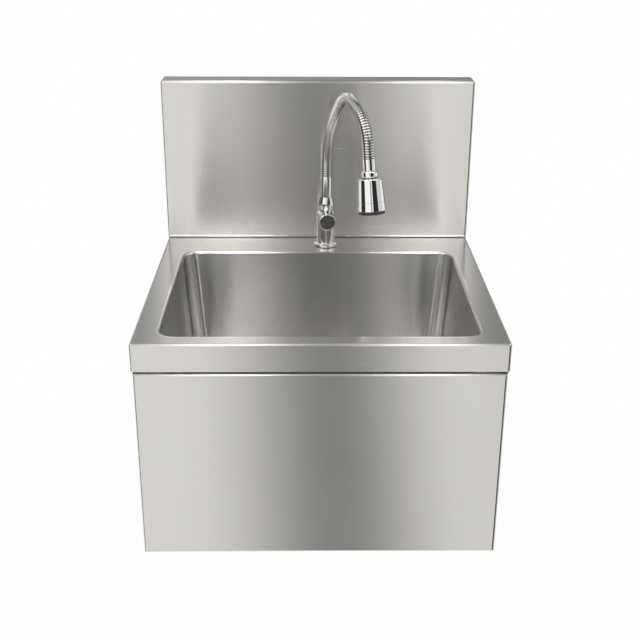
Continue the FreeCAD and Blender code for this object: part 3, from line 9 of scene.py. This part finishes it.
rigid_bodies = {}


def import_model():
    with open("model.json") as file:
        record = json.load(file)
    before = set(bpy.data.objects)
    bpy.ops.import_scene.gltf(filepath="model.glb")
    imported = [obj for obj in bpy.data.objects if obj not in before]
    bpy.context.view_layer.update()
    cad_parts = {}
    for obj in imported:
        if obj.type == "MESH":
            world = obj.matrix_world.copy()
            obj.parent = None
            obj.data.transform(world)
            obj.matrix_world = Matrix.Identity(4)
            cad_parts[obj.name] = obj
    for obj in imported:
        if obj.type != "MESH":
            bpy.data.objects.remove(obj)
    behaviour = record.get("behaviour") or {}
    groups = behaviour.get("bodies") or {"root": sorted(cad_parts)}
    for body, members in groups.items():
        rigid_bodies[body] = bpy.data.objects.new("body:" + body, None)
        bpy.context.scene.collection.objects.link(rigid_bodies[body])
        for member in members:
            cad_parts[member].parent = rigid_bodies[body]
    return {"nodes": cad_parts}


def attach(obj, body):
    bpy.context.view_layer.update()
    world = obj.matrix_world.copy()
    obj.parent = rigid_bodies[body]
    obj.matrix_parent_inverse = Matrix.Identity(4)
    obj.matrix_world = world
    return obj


bpy.ops.object.select_all(action="SELECT")
bpy.ops.object.delete()

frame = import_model()
bpy.context.view_layer.update()
nodes = frame["nodes"]

# ------------------------------------------------------------------ sizes of the sink, in metres
RIM_Z = -0.158
SPLASH_FACE_Y = -0.035
HALF_WIDTH = 0.200
# painted shadow: a dark strip in the gap at the foot of the backsplash, and a weld bead above it
JOINT_LENGTH = 2.0 * HALF_WIDTH - 0.005
SHADOW_STRIP_HEIGHT = 0.0012
SHADOW_STRIP_PROUD = 0.0004
BEAD_RADIUS = 0.0010
BEAD_SIDES = 24
BEAD_CREASE = math.radians(40.0)
# top of the backsplash: faces that look up, no lower than this below its highest point
LOOKS_UP = 0.9
TOP_DEPTH = 0.001
# middle line of the hose: lower end, swing to the right, straight ends, bends (radius, degrees)
HOSE_START = (0.0105, -0.065, RIM_Z + 0.092)
HOSE_SWING = math.radians(25.7)
HOSE_STRAIGHT = 0.0148
HOSE_BENDS = [(0.118, 48.7), (0.026, 53.2), (0.0576, 68.2)]
# ribs, steps of that line to each rib, and the step at which the groove beside a rib begins and its
# painted shade starts
RIB_COUNT = 74
RIB_STEPS = 20
SHADED_GROOVE_STEP = 12

# ------------------------------------------------------------------ sizes of the finishes
# brushing lines: marks to a metre along and across them, height, swing of the roughness
ALONG_LINES = 12.0
ACROSS_LINES = 1100.0
LINE_DETAIL = 3.0
LINE_HEIGHT = 0.0002
LINE_ROUGHNESS = 0.05
# sideways part of the direction of a face above which its lines run along Y
LOOKS_SIDEWAYS = 0.7
# uneven tone: detail, and swing of the roughness
CLOUD_DETAIL = 4.0
CLOUD_ROUGHNESS = 0.2
# level about which a pattern swings
PATTERN_MIDDLE = 0.5
# shader inputs that take the outputs of a shared effect
SHADER_INPUTS = {"Color": "Base Color", "Roughness": "Roughness", "Normal": "Normal"}
# places of a mix node's two numbers and two vectors among its inputs, and of its vector output
MIX_NUMBERS = (2, 3)
MIX_VECTORS = (4, 5)
MIX_VECTOR_OUT = 1


# ------------------------------------------------------------------ node helpers
def link(tree, start, end):
    """Join an output to an input."""
    tree.links.new(start, end)


def feed(tree, value, socket):
    """Set an input to a number, or join an output to it."""
    if isinstance(value, (int, float)):
        socket.default_value = value
    else:
        link(tree, value, socket)


def math_node(tree, operation, *values):
    """One step of arithmetic on numbers or outputs."""
    node = tree.nodes.new("ShaderNodeMath")
    node.operation = operation
    for socket, value in zip(node.inputs, values):
        feed(tree, value, socket)
    return node.outputs[0]


def mix_value(tree, share, first, second):
    """The first value where the share is 0, the second where it is 1."""
    node = tree.nodes.new("ShaderNodeMix")
    feed(tree, share, node.inputs[0])
    for number, value in zip(MIX_NUMBERS, (first, second)):
        feed(tree, value, node.inputs[number])
    return node.outputs[0]


def smooth_range(tree, value, low, high, out_low=0.0, out_high=1.0):
    """A soft step from one level to another while the value goes from low to high."""
    node = tree.nodes.new("ShaderNodeMapRange")
    node.interpolation_type = "SMOOTHSTEP"
    link(tree, value, node.inputs["Value"])
    node.inputs["From Min"].default_value = low
    node.inputs["From Max"].default_value = high
    node.inputs["To Min"].default_value = out_low
    node.inputs["To Max"].default_value = out_high
    return node.outputs["Result"]


def new_group(name, inputs, outputs):
    """An empty shader group with its named inputs and outputs."""
    tree = bpy.data.node_groups.new(name, "ShaderNodeTree")
    for label, kind, value in inputs:
        socket = tree.interface.new_socket(label, in_out="INPUT", socket_type=kind)
        socket.default_value = value
    for label, kind in outputs:
        tree.interface.new_socket(label, in_out="OUTPUT", socket_type=kind)
    return tree, tree.nodes.new("NodeGroupInput"), tree.nodes.new("NodeGroupOutput")


def by_facing(tree, place, usual, sideways):
    """One vector on faces that look left or right, the usual vector on the others."""
    facing = tree.nodes.new("ShaderNodeSeparateXYZ")
    link(tree, place.outputs["Normal"], facing.inputs[0])
    turned = math_node(tree, "ABSOLUTE", facing.outputs[0])
    node = tree.nodes.new("ShaderNodeMix")
    node.data_type = "VECTOR"
    link(tree, math_node(tree, "GREATER_THAN", turned, LOOKS_SIDEWAYS), node.inputs[0])
    for number, vector in zip(MIX_VECTORS, (usual, sideways)):
        node.inputs[number].default_value = vector
    return node.outputs[MIX_VECTOR_OUT]


def swing_tone(tree, given, out, pattern, amount, roughness_swing):
    """Tone and roughness of a shared effect swing with its pattern."""
    swing = math_node(tree, "SUBTRACT", pattern, PATTERN_MIDDLE)
    bright = math_node(tree, "MULTIPLY_ADD", swing, given.outputs[amount], 1.0)
    tint = tree.nodes.new("ShaderNodeVectorMath")
    tint.operation = "SCALE"
    link(tree, given.outputs["Tone"], tint.inputs[0])
    link(tree, bright, tint.inputs["Scale"])
    link(tree, tint.outputs[0], out.inputs["Color"])
    rough = math_node(tree, "MULTIPLY_ADD", swing, roughness_swing, given.outputs["Roughness"])
    link(tree, rough, out.inputs["Roughness"])


# ------------------------------------------------------------------ shared effects
def make_grain():
    """Fine brushing lines that run along X, or along Y on faces that look sideways."""
    tree, given, out = new_group("brushed_grain", [
        ("Tone", "NodeSocketColor", (0.6, 0.6, 0.6, 1.0)),
        ("Streak", "NodeSocketFloat", 0.05),
        ("Roughness", "NodeSocketFloat", 0.28),
        ("Depth", "NodeSocketFloat", 0.02),
    ], [("Color", "NodeSocketColor"), ("Roughness", "NodeSocketFloat"),
        ("Normal", "NodeSocketVector")])
    place = tree.nodes.new("ShaderNodeTexCoord")
    stretch = by_facing(tree, place, (ALONG_LINES, ACROSS_LINES, ACROSS_LINES),
                        (ACROSS_LINES, ALONG_LINES, ACROSS_LINES))
    scaled = tree.nodes.new("ShaderNodeVectorMath")
    scaled.operation = "MULTIPLY"
    link(tree, place.outputs["Object"], scaled.inputs[0])
    link(tree, stretch, scaled.inputs[1])
    lines = tree.nodes.new("ShaderNodeTexNoise")
    lines.inputs["Scale"].default_value = 1.0
    lines.inputs["Detail"].default_value = LINE_DETAIL
    link(tree, scaled.outputs[0], lines.inputs["Vector"])
    swing_tone(tree, given, out, lines.outputs["Fac"], "Streak", LINE_ROUGHNESS)
    bump = tree.nodes.new("ShaderNodeBump")
    bump.inputs["Distance"].default_value = LINE_HEIGHT
    link(tree, given.outputs["Depth"], bump.inputs["Strength"])
    link(tree, lines.outputs["Fac"], bump.inputs["Height"])
    link(tree, bump.outputs["Normal"], out.inputs["Normal"])
    return tree


def make_mottle():
    """Soft uneven tone for chrome, brass, copper, rubber and plastic."""
    tree, given, out = new_group("soft_mottle", [
        ("Tone", "NodeSocketColor", (0.1, 0.1, 0.1, 1.0)),
        ("Spread", "NodeSocketFloat", 0.2),
        ("Scale", "NodeSocketFloat", 300.0),
        ("Roughness", "NodeSocketFloat", 0.5),
    ], [("Color", "NodeSocketColor"), ("Roughness", "NodeSocketFloat")])
    place = tree.nodes.new("ShaderNodeTexCoord")
    cloud = tree.nodes.new("ShaderNodeTexNoise")
    cloud.inputs["Detail"].default_value = CLOUD_DETAIL
    link(tree, place.outputs["Object"], cloud.inputs["Vector"])
    link(tree, given.outputs["Scale"], cloud.inputs["Scale"])
    swing_tone(tree, given, out, cloud.outputs["Fac"], "Spread", CLOUD_ROUGHNESS)
    return tree


GRAIN = make_grain()
MOTTLE = make_mottle()


# ------------------------------------------------------------------ finishes
def start_material(name):
    """A new material with its own shader."""
    material = bpy.data.materials.new(name)
    material.use_nodes = True
    tree = material.node_tree
    return material, tree, tree.nodes["Principled BSDF"]


def make_finish(name, effect, metallic, values):
    """A new material whose shader is fed by a shared effect."""
    material, tree, shader = start_material(name)
    node = tree.nodes.new("ShaderNodeGroup")
    node.node_tree = effect
    for label, value in values.items():
        node.inputs[label].default_value = value
    for output in node.outputs:
        link(tree, output, shader.inputs[SHADER_INPUTS[output.name]])
    shader.inputs["Metallic"].default_value = metallic
    return material, tree, shader


def brushed(name, tone, roughness, streak, depth, anisotropic):
    """Bare steel with brushing lines; anisotropic 1 smears its reflections across the lines."""
    material, tree, shader = make_finish(name, GRAIN, 1.0, {
        "Tone": (*tone, 1.0), "Roughness": roughness, "Streak": streak, "Depth": depth})
    if anisotropic:
        shader.inputs["Anisotropic"].default_value = anisotropic
        link(tree, across_grain(tree), shader.inputs["Tangent"])
    return material


def across_grain(tree):
    """Direction square to the brushing lines, along which a brushed face smears what it mirrors."""
    place = tree.nodes.new("ShaderNodeTexCoord")
    lines = by_facing(tree, place, (1.0, 0.0, 0.0), (0.0, 1.0, 0.0))
    across = tree.nodes.new("ShaderNodeVectorMath")
    across.operation = "CROSS_PRODUCT"
    link(tree, place.outputs["Normal"], across.inputs[0])
    link(tree, lines, across.inputs[1])
    placed = tree.nodes.new("ShaderNodeVectorTransform")
    placed.vector_type = "VECTOR"
    placed.convert_from = "OBJECT"
    placed.convert_to = "WORLD"
    link(tree, across.outputs[0], placed.inputs[0])
    return placed.outputs[0]


def mottled(name, tone, roughness, spread=0.2, scale=300.0, metallic=0.0):
    """A plain finish whose tone and roughness are a little uneven."""
    return make_finish(name, MOTTLE, metallic, {
        "Tone": (*tone, 1.0), "Roughness": roughness, "Spread": spread, "Scale": scale})[0]


FINISHES = {
    "sheet": brushed("brushed_sheet", (0.618, 0.602, 0.568), 0.26, 0.03, 0.0005, 1.0),
    "drawn": brushed("drawn_bowl", (0.715, 0.708, 0.685), 0.16, 0.03, 0.0005, 1.0),
    "steel": brushed("plain_steel", (0.55, 0.54, 0.52), 0.32, 0.08, 0.02, 0.0),
    "chrome": mottled("polished_chrome", (0.81, 0.80, 0.785), 0.06, 0.03, 80.0, 1.0),
    "cast": mottled("cast_chrome", (0.90, 0.89, 0.87), 0.12, 0.03, 80.0, 1.0),
    # painted shade: a darker copy of the chrome for the grooves of the hose, where shade falls
    # between the ribs
    "groove": mottled("hose_groove", (0.36, 0.355, 0.345), 0.20, 0.1, 80.0, 1.0),
    "folded": brushed("folded_edge", (0.64, 0.622, 0.59), 0.10, 0.03, 0.0005, 0.0),
    "brass": mottled("machined_brass", (0.72, 0.52, 0.24), 0.30, 0.15, 200.0, 1.0),
    "copper": mottled("copper_pipe", (0.80, 0.42, 0.27), 0.26, 0.2, 60.0, 1.0),
    "rubber": mottled("black_rubber", (0.018, 0.018, 0.019), 0.62, 0.3),
    "plastic": mottled("dark_plastic", (0.05, 0.05, 0.053), 0.38, 0.3),
    "cap": mottled("knob_disc", (0.068, 0.066, 0.060), 0.40, 7.0, 380.0),
    "nozzle": mottled("nozzle_rubber", (0.30, 0.30, 0.30), 0.5, 0.2),
    # painted shadow: a near-black finish for the strip that stands for the shade in the gap at the
    # foot of the backsplash
    "joint": mottled("painted_shadow_strip", (0.10, 0.098, 0.094), 0.45, 0.2),
}
CLADDING = {
    "sheet": ["deck_top", "backsplash", "knee_panel", "left_cheek", "right_cheek"],
    "drawn": ["bowl"],
    "steel": ["wall_rail", "rear_brace", "valve_bracket", "bracket_screws", "bracket_nuts",
              "hinge_pins", "hinge_nuts", "stop_pins", "stop_nuts", "panel_stiffener",
              "valve_spring", "tap_steel_washer", "waste_body", "strainer_plate",
              "strainer_screw"],
    "cast": ["tap_body"],
    "chrome": ["tap_flange", "control_knob", "spout_nut", "lower_sleeve",
               "gooseneck_hose", "upper_sleeve", "swivel_nut", "spray_head", "selector_ring"],
    "brass": ["valve_body", "valve_bonnet", "valve_plunger", "valve_lock_nuts",
              "pipe_nut_lower", "pipe_nut_upper", "olive_lower", "olive_upper", "tap_shank",
              "tap_backnut", "knob_spindle"],
    "copper": ["supply_pipe"],
    "rubber": ["push_pad", "tap_gasket", "tap_rubber_washer", "waste_gasket_upper",
               "waste_gasket_lower", "valve_seal", "spout_o_ring", "head_seal", "inner_tube"],
    "plastic": ["hinge_bushes", "waste_backnut", "cartridge", "spray_face"],
    "cap": ["knob_cap"],
    "nozzle": ["spray_nozzles"],
}


def clad_nodes():
    """Every node of the sink gets its finish."""
    for finish, names in CLADDING.items():
        for name in names:
            mesh = nodes[name].data
            mesh.materials.clear()
            mesh.materials.append(FINISHES[finish])


def lean_at(distance):
    """How far the hose leans over from upright at a distance from its lower end."""
    lean = 0.0
    distance -= HOSE_STRAIGHT
    for radius, turn in HOSE_BENDS:
        lean += min(max(distance / radius, 0.0), math.radians(turn))
        distance -= radius * math.radians(turn)
    return lean


def hose_middle():
    """Points on the middle line of the hose, a fixed number of steps to each rib."""
    bends = sum(radius * math.radians(turn) for radius, turn in HOSE_BENDS)
    count = RIB_COUNT * RIB_STEPS
    step = (bends + 2.0 * HOSE_STRAIGHT) / count
    outward = Vector((math.sin(HOSE_SWING), -math.cos(HOSE_SWING), 0.0))
    place = Vector(HOSE_START)
    line = KDTree(count)
    for index in range(count):
        lean = lean_at((index + 0.5) * step)
        along = math.sin(lean) * outward + math.cos(lean) * Vector((0.0, 0.0, 1.0))
        line.insert(place + 0.5 * step * along, index)
        place += step * along
    line.balance()
    return line


def paint_groove_shade(hose):
    """Paints shade into the grooves between the ribs of the hose: their faces get a darker copy of
    the chrome than the crests.
    """
    hose.data.materials.append(FINISHES["groove"])
    line = hose_middle()
    for face in hose.data.polygons:
        # faces in the groove part of each rib get the darker finish, which is painted shade
        if line.find(face.center)[1] % RIB_STEPS >= SHADED_GROOVE_STEP:
            face.material_index = 1


def polish_top(backsplash):
    """The narrow top of the backsplash is smoother than its face."""
    backsplash.data.materials.append(FINISHES["folded"])
    top = max(corner.co.z for corner in backsplash.data.vertices)
    for face in backsplash.data.polygons:
        if face.normal.z > LOOKS_UP and face.center.z > top - TOP_DEPTH:
            face.material_index = 1


def make_splash_shadow_strip():
    """Thin dark strip of painted shadow in the gap between tap deck and backsplash, with a polished
    weld bead above it.
    """
    bpy.ops.object.select_all(action="DESELECT")
    bpy.ops.mesh.primitive_cube_add(size=1.0)
    joint = bpy.context.object
    joint.name = "splash_shadow_strip"
    bpy.ops.object.mode_set(mode="EDIT")
    bpy.ops.mesh.select_all(action="SELECT")
    bpy.ops.transform.resize(value=(JOINT_LENGTH, 2.0 * SHADOW_STRIP_PROUD, SHADOW_STRIP_HEIGHT))
    bpy.ops.transform.translate(value=(0.0, SPLASH_FACE_Y, RIM_Z + 0.5 * SHADOW_STRIP_HEIGHT))
    bpy.ops.object.mode_set(mode="OBJECT")
    # the strip's dark finish is painted shadow of the gap
    joint.data.materials.append(FINISHES["joint"])
    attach(joint, "basin")

    bpy.ops.object.select_all(action="DESELECT")
    bpy.ops.mesh.primitive_cylinder_add(vertices=BEAD_SIDES, radius=BEAD_RADIUS,
                                        depth=JOINT_LENGTH)
    bead = bpy.context.object
    bead.name = "splash_bead"
    middle = (0.0, SPLASH_FACE_Y, RIM_Z + SHADOW_STRIP_HEIGHT + BEAD_RADIUS)
    bpy.ops.object.mode_set(mode="EDIT")
    bpy.ops.mesh.select_all(action="SELECT")
    bpy.ops.transform.rotate(value=math.radians(90.0), orient_axis="Y",
                             center_override=(0.0, 0.0, 0.0))
    bpy.ops.transform.translate(value=middle)
    bpy.ops.object.mode_set(mode="OBJECT")
    bpy.ops.object.shade_smooth_by_angle(angle=BEAD_CREASE)
    bead.data.materials.append(FINISHES["chrome"])
    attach(bead, "basin")


clad_nodes()
paint_groove_shade(nodes["gooseneck_hose"])
polish_top(nodes["backsplash"])
make_splash_shadow_strip()


# ------------------------------------------------------------------ studio
FLOOR_RADIUS = 1.1
FLOOR_MIDDLE = (0.0, 0.45, -0.90)
FLOOR_SIDES = 96
FLOOR_TONE = 0.85
FLOOR_ROUGHNESS = 0.9
# share of plain white in the middle of the floor and near its edge, and where it changes
FLOOR_SHARES = (0.93, 1.0)
FLOOR_FADE = (0.3 * FLOOR_RADIUS, 0.7 * FLOOR_RADIUS)
# degrees from one end of a ramp of panels to the other
RAMP_SPAN = 180.0
# soft boxes and dark flags side by side: degrees to the right of the sink's middle, brightness
PANELS = [(-53.0, 0.03), (-49.0, 1.10), (-4.8, 1.10), (0.0, 0.14), (3.1, 0.14), (6.5, 1.10),
          (12.0, 1.10), (16.0, 0.03), (60.0, 0.03), (63.0, 0.75)]
HIGH_PANELS = [(-30.0, 0.9), (-14.0, 0.22), (-8.1, 0.20), (-7.1, 2.0), (-5.2, 2.8), (-3.9, 5.8),
               (-2.9, 3.6), (-1.2, 0.26), (0.0, 0.12), (2.8, 0.10), (4.2, 1.3), (5.8, 3.4),
               (7.3, 5.8), (8.0, 2.2), (8.8, 0.20), (30.0, 0.7)]
# the low panels lean to the left on their way up, by this much to a unit of height, as far as
# LEAN_TOP; at LEAN_LEVEL they stand at the degrees above
LEAN = 0.09
LEAN_TOP = -0.2
LEAN_LEVEL = -0.45
# brightness overhead, for rough surfaces, and of the wall behind the sink from left to right
CEILING = 0.3
DIFFUSE_LEVEL = 0.75
WALL_LEVELS = (0.40, 0.30)
# parts of a direction of length 1, x to the right, y to the back and z up, between which one
# part of the studio passes into the next; behind the sink the high panels show in the band only
LOW_TO_HIGH = (0.30, 0.45)
HIGH_TO_CEILING = (0.55, 0.75)
BAND_START = (0.28, 0.38)
BAND_END = (0.55, 0.68)
FRONT_TO_BACK = (-0.02, 0.08)
WALL_WIDTH = (-0.15, 0.15)
# behind the sink, mirrors see plain white below this height
WHITE_BELOW = 0.02
LAMP_AIM = (0.0, -0.2, -0.2)
LAMP_SIZE = 1.2
# angles in radians, lens and sensor in millimetres
CAMERA_PLACE = (-0.01515, -1.39029, 0.2932)
CAMERA_YAW = 0.014
CAMERA_PITCH = 0.399
CAMERA_ROLL = 0.005
CAMERA_LENS = 59.664
CAMERA_SENSOR = 36.0


def make_floor():
    """Pale round floor that looks white and keeps the sink's shadow."""
    bpy.ops.object.select_all(action="DESELECT")
    bpy.ops.mesh.primitive_circle_add(vertices=FLOOR_SIDES, radius=FLOOR_RADIUS,
                                      fill_type="NGON", location=(0.0, 0.0, 0.0))
    floor = bpy.context.object
    floor.name = "floor"
    bpy.ops.transform.translate(value=FLOOR_MIDDLE)
    material, tree, shader = start_material("pale_floor")
    shader.inputs["Base Color"].default_value = (FLOOR_TONE, FLOOR_TONE, FLOOR_TONE, 1.0)
    shader.inputs["Roughness"].default_value = FLOOR_ROUGHNESS
    white = tree.nodes.new("ShaderNodeEmission")
    path = tree.nodes.new("ShaderNodeLightPath")
    seen = math_node(tree, "MAXIMUM", path.outputs["Is Camera Ray"], path.outputs["Is Glossy Ray"])
    seen = math_node(tree, "MAXIMUM", seen, path.outputs["Is Transmission Ray"])
    place = tree.nodes.new("ShaderNodeTexCoord")
    reach = tree.nodes.new("ShaderNodeVectorMath")
    reach.operation = "LENGTH"
    link(tree, place.outputs["Object"], reach.inputs[0])
    edge = smooth_range(tree, reach.outputs["Value"], *FLOOR_FADE, *FLOOR_SHARES)
    blend = tree.nodes.new("ShaderNodeMixShader")
    link(tree, math_node(tree, "MULTIPLY", seen, edge), blend.inputs[0])
    link(tree, shader.outputs[0], blend.inputs[1])
    link(tree, white.outputs[0], blend.inputs[2])
    link(tree, blend.outputs[0], tree.nodes["Material Output"].inputs["Surface"])
    floor.data.materials.append(material)


def studio_panels(tree, panels, across):
    """Brightness of soft boxes and flags that stand side by side as tall slots."""
    ramp = tree.nodes.new("ShaderNodeValToRGB")
    stops = ramp.color_ramp.elements
    ready = len(stops)
    for index, (degrees, level) in enumerate(panels):
        place = 0.5 + degrees / RAMP_SPAN
        stop = stops[index] if index < ready else stops.new(place)
        stop.position = place
        stop.color = (level, level, level, 1.0)
    degrees = math_node(tree, "DEGREES", math_node(tree, "ARCSINE", across))
    link(tree, math_node(tree, "MULTIPLY_ADD", degrees, 1.0 / RAMP_SPAN, 0.5), ramp.inputs[0])
    return ramp.outputs["Color"]


def make_world():
    """White behind the sink; in front of it tall soft boxes with dark flags between them."""
    world = bpy.data.worlds.new("studio")
    bpy.context.scene.world = world
    world.use_nodes = True
    tree = world.node_tree
    tree.nodes.clear()
    place = tree.nodes.new("ShaderNodeTexCoord")
    parts = tree.nodes.new("ShaderNodeSeparateXYZ")
    link(tree, place.outputs["Generated"], parts.inputs[0])
    x, y, z = parts.outputs
    below = math_node(tree, "SUBTRACT", math_node(tree, "MINIMUM", z, LEAN_TOP), LEAN_LEVEL)
    leaning = math_node(tree, "MULTIPLY_ADD", below, LEAN, x)
    high = studio_panels(tree, HIGH_PANELS, x)
    front = mix_value(tree, smooth_range(tree, z, *LOW_TO_HIGH),
                      studio_panels(tree, PANELS, leaning), high)
    ceiling = math_node(tree, "MAXIMUM", high, CEILING)
    front = mix_value(tree, smooth_range(tree, z, *HIGH_TO_CEILING), front, ceiling)
    behind = smooth_range(tree, y, *FRONT_TO_BACK)
    wall = smooth_range(tree, x, *WALL_WIDTH, *WALL_LEVELS)
    band = math_node(tree, "MULTIPLY", smooth_range(tree, z, *BAND_START),
                     smooth_range(tree, z, *BAND_END, 1.0, 0.0))
    level = mix_value(tree, behind, front, mix_value(tree, band, wall, high))

    path = tree.nodes.new("ShaderNodeLightPath")
    level = mix_value(tree, path.outputs["Is Diffuse Ray"], level, DIFFUSE_LEVEL)
    room = tree.nodes.new("ShaderNodeBackground")
    link(tree, level, room.inputs["Strength"])
    room.inputs["Color"].default_value = (1.0, 1.0, 1.0, 1.0)
    white = tree.nodes.new("ShaderNodeBackground")
    white.inputs["Color"].default_value = (1.0, 1.0, 1.0, 1.0)
    glossy = math_node(tree, "MAXIMUM", path.outputs["Is Glossy Ray"],
                       path.outputs["Is Transmission Ray"])
    low = math_node(tree, "LESS_THAN", z, WHITE_BELOW)
    glossy = math_node(tree, "MULTIPLY", glossy, math_node(tree, "MULTIPLY", behind, low))
    blend = tree.nodes.new("ShaderNodeMixShader")
    link(tree, math_node(tree, "MAXIMUM", path.outputs["Is Camera Ray"], glossy), blend.inputs[0])
    link(tree, room.outputs[0], blend.inputs[1])
    link(tree, white.outputs[0], blend.inputs[2])
    out = tree.nodes.new("ShaderNodeOutputWorld")
    link(tree, blend.outputs[0], out.inputs["Surface"])


def make_lamp(name, place, power):
    """Square soft lamp that points at the sink."""
    bpy.ops.object.light_add(type="AREA", location=place)
    lamp = bpy.context.object
    lamp.name = name
    lamp.data.shape = "SQUARE"
    lamp.data.size = LAMP_SIZE
    lamp.data.energy = power
    lamp.rotation_euler = (Vector(LAMP_AIM) - Vector(place)).to_track_quat("-Z", "Y").to_euler()


def make_camera():
    """Camera in front of the sink, a little above it and looking down at it."""
    bpy.ops.object.camera_add(location=CAMERA_PLACE)
    camera = bpy.context.object
    reach = math.cos(CAMERA_PITCH)
    forward = Vector((math.sin(CAMERA_YAW) * reach, math.cos(CAMERA_YAW) * reach,
                      -math.sin(CAMERA_PITCH)))
    level = Vector((math.cos(CAMERA_YAW), -math.sin(CAMERA_YAW), 0.0))
    upright = level.cross(forward)
    right = math.cos(CAMERA_ROLL) * level + math.sin(CAMERA_ROLL) * upright
    up = math.cos(CAMERA_ROLL) * upright - math.sin(CAMERA_ROLL) * level
    camera.rotation_euler = Matrix((right, up, -forward)).transposed().to_euler()
    camera.data.sensor_width = CAMERA_SENSOR
    camera.data.lens = CAMERA_LENS
    bpy.context.scene.camera = camera


bpy.context.scene.view_settings.view_transform = "Standard"
make_floor()
make_world()
make_lamp("key_lamp", (-1.1, -1.3, 1.3), 8.0)
make_lamp("fill_lamp", (1.2, -0.9, 1.0), 5.0)
make_camera()

bpy.context.view_layer.update()
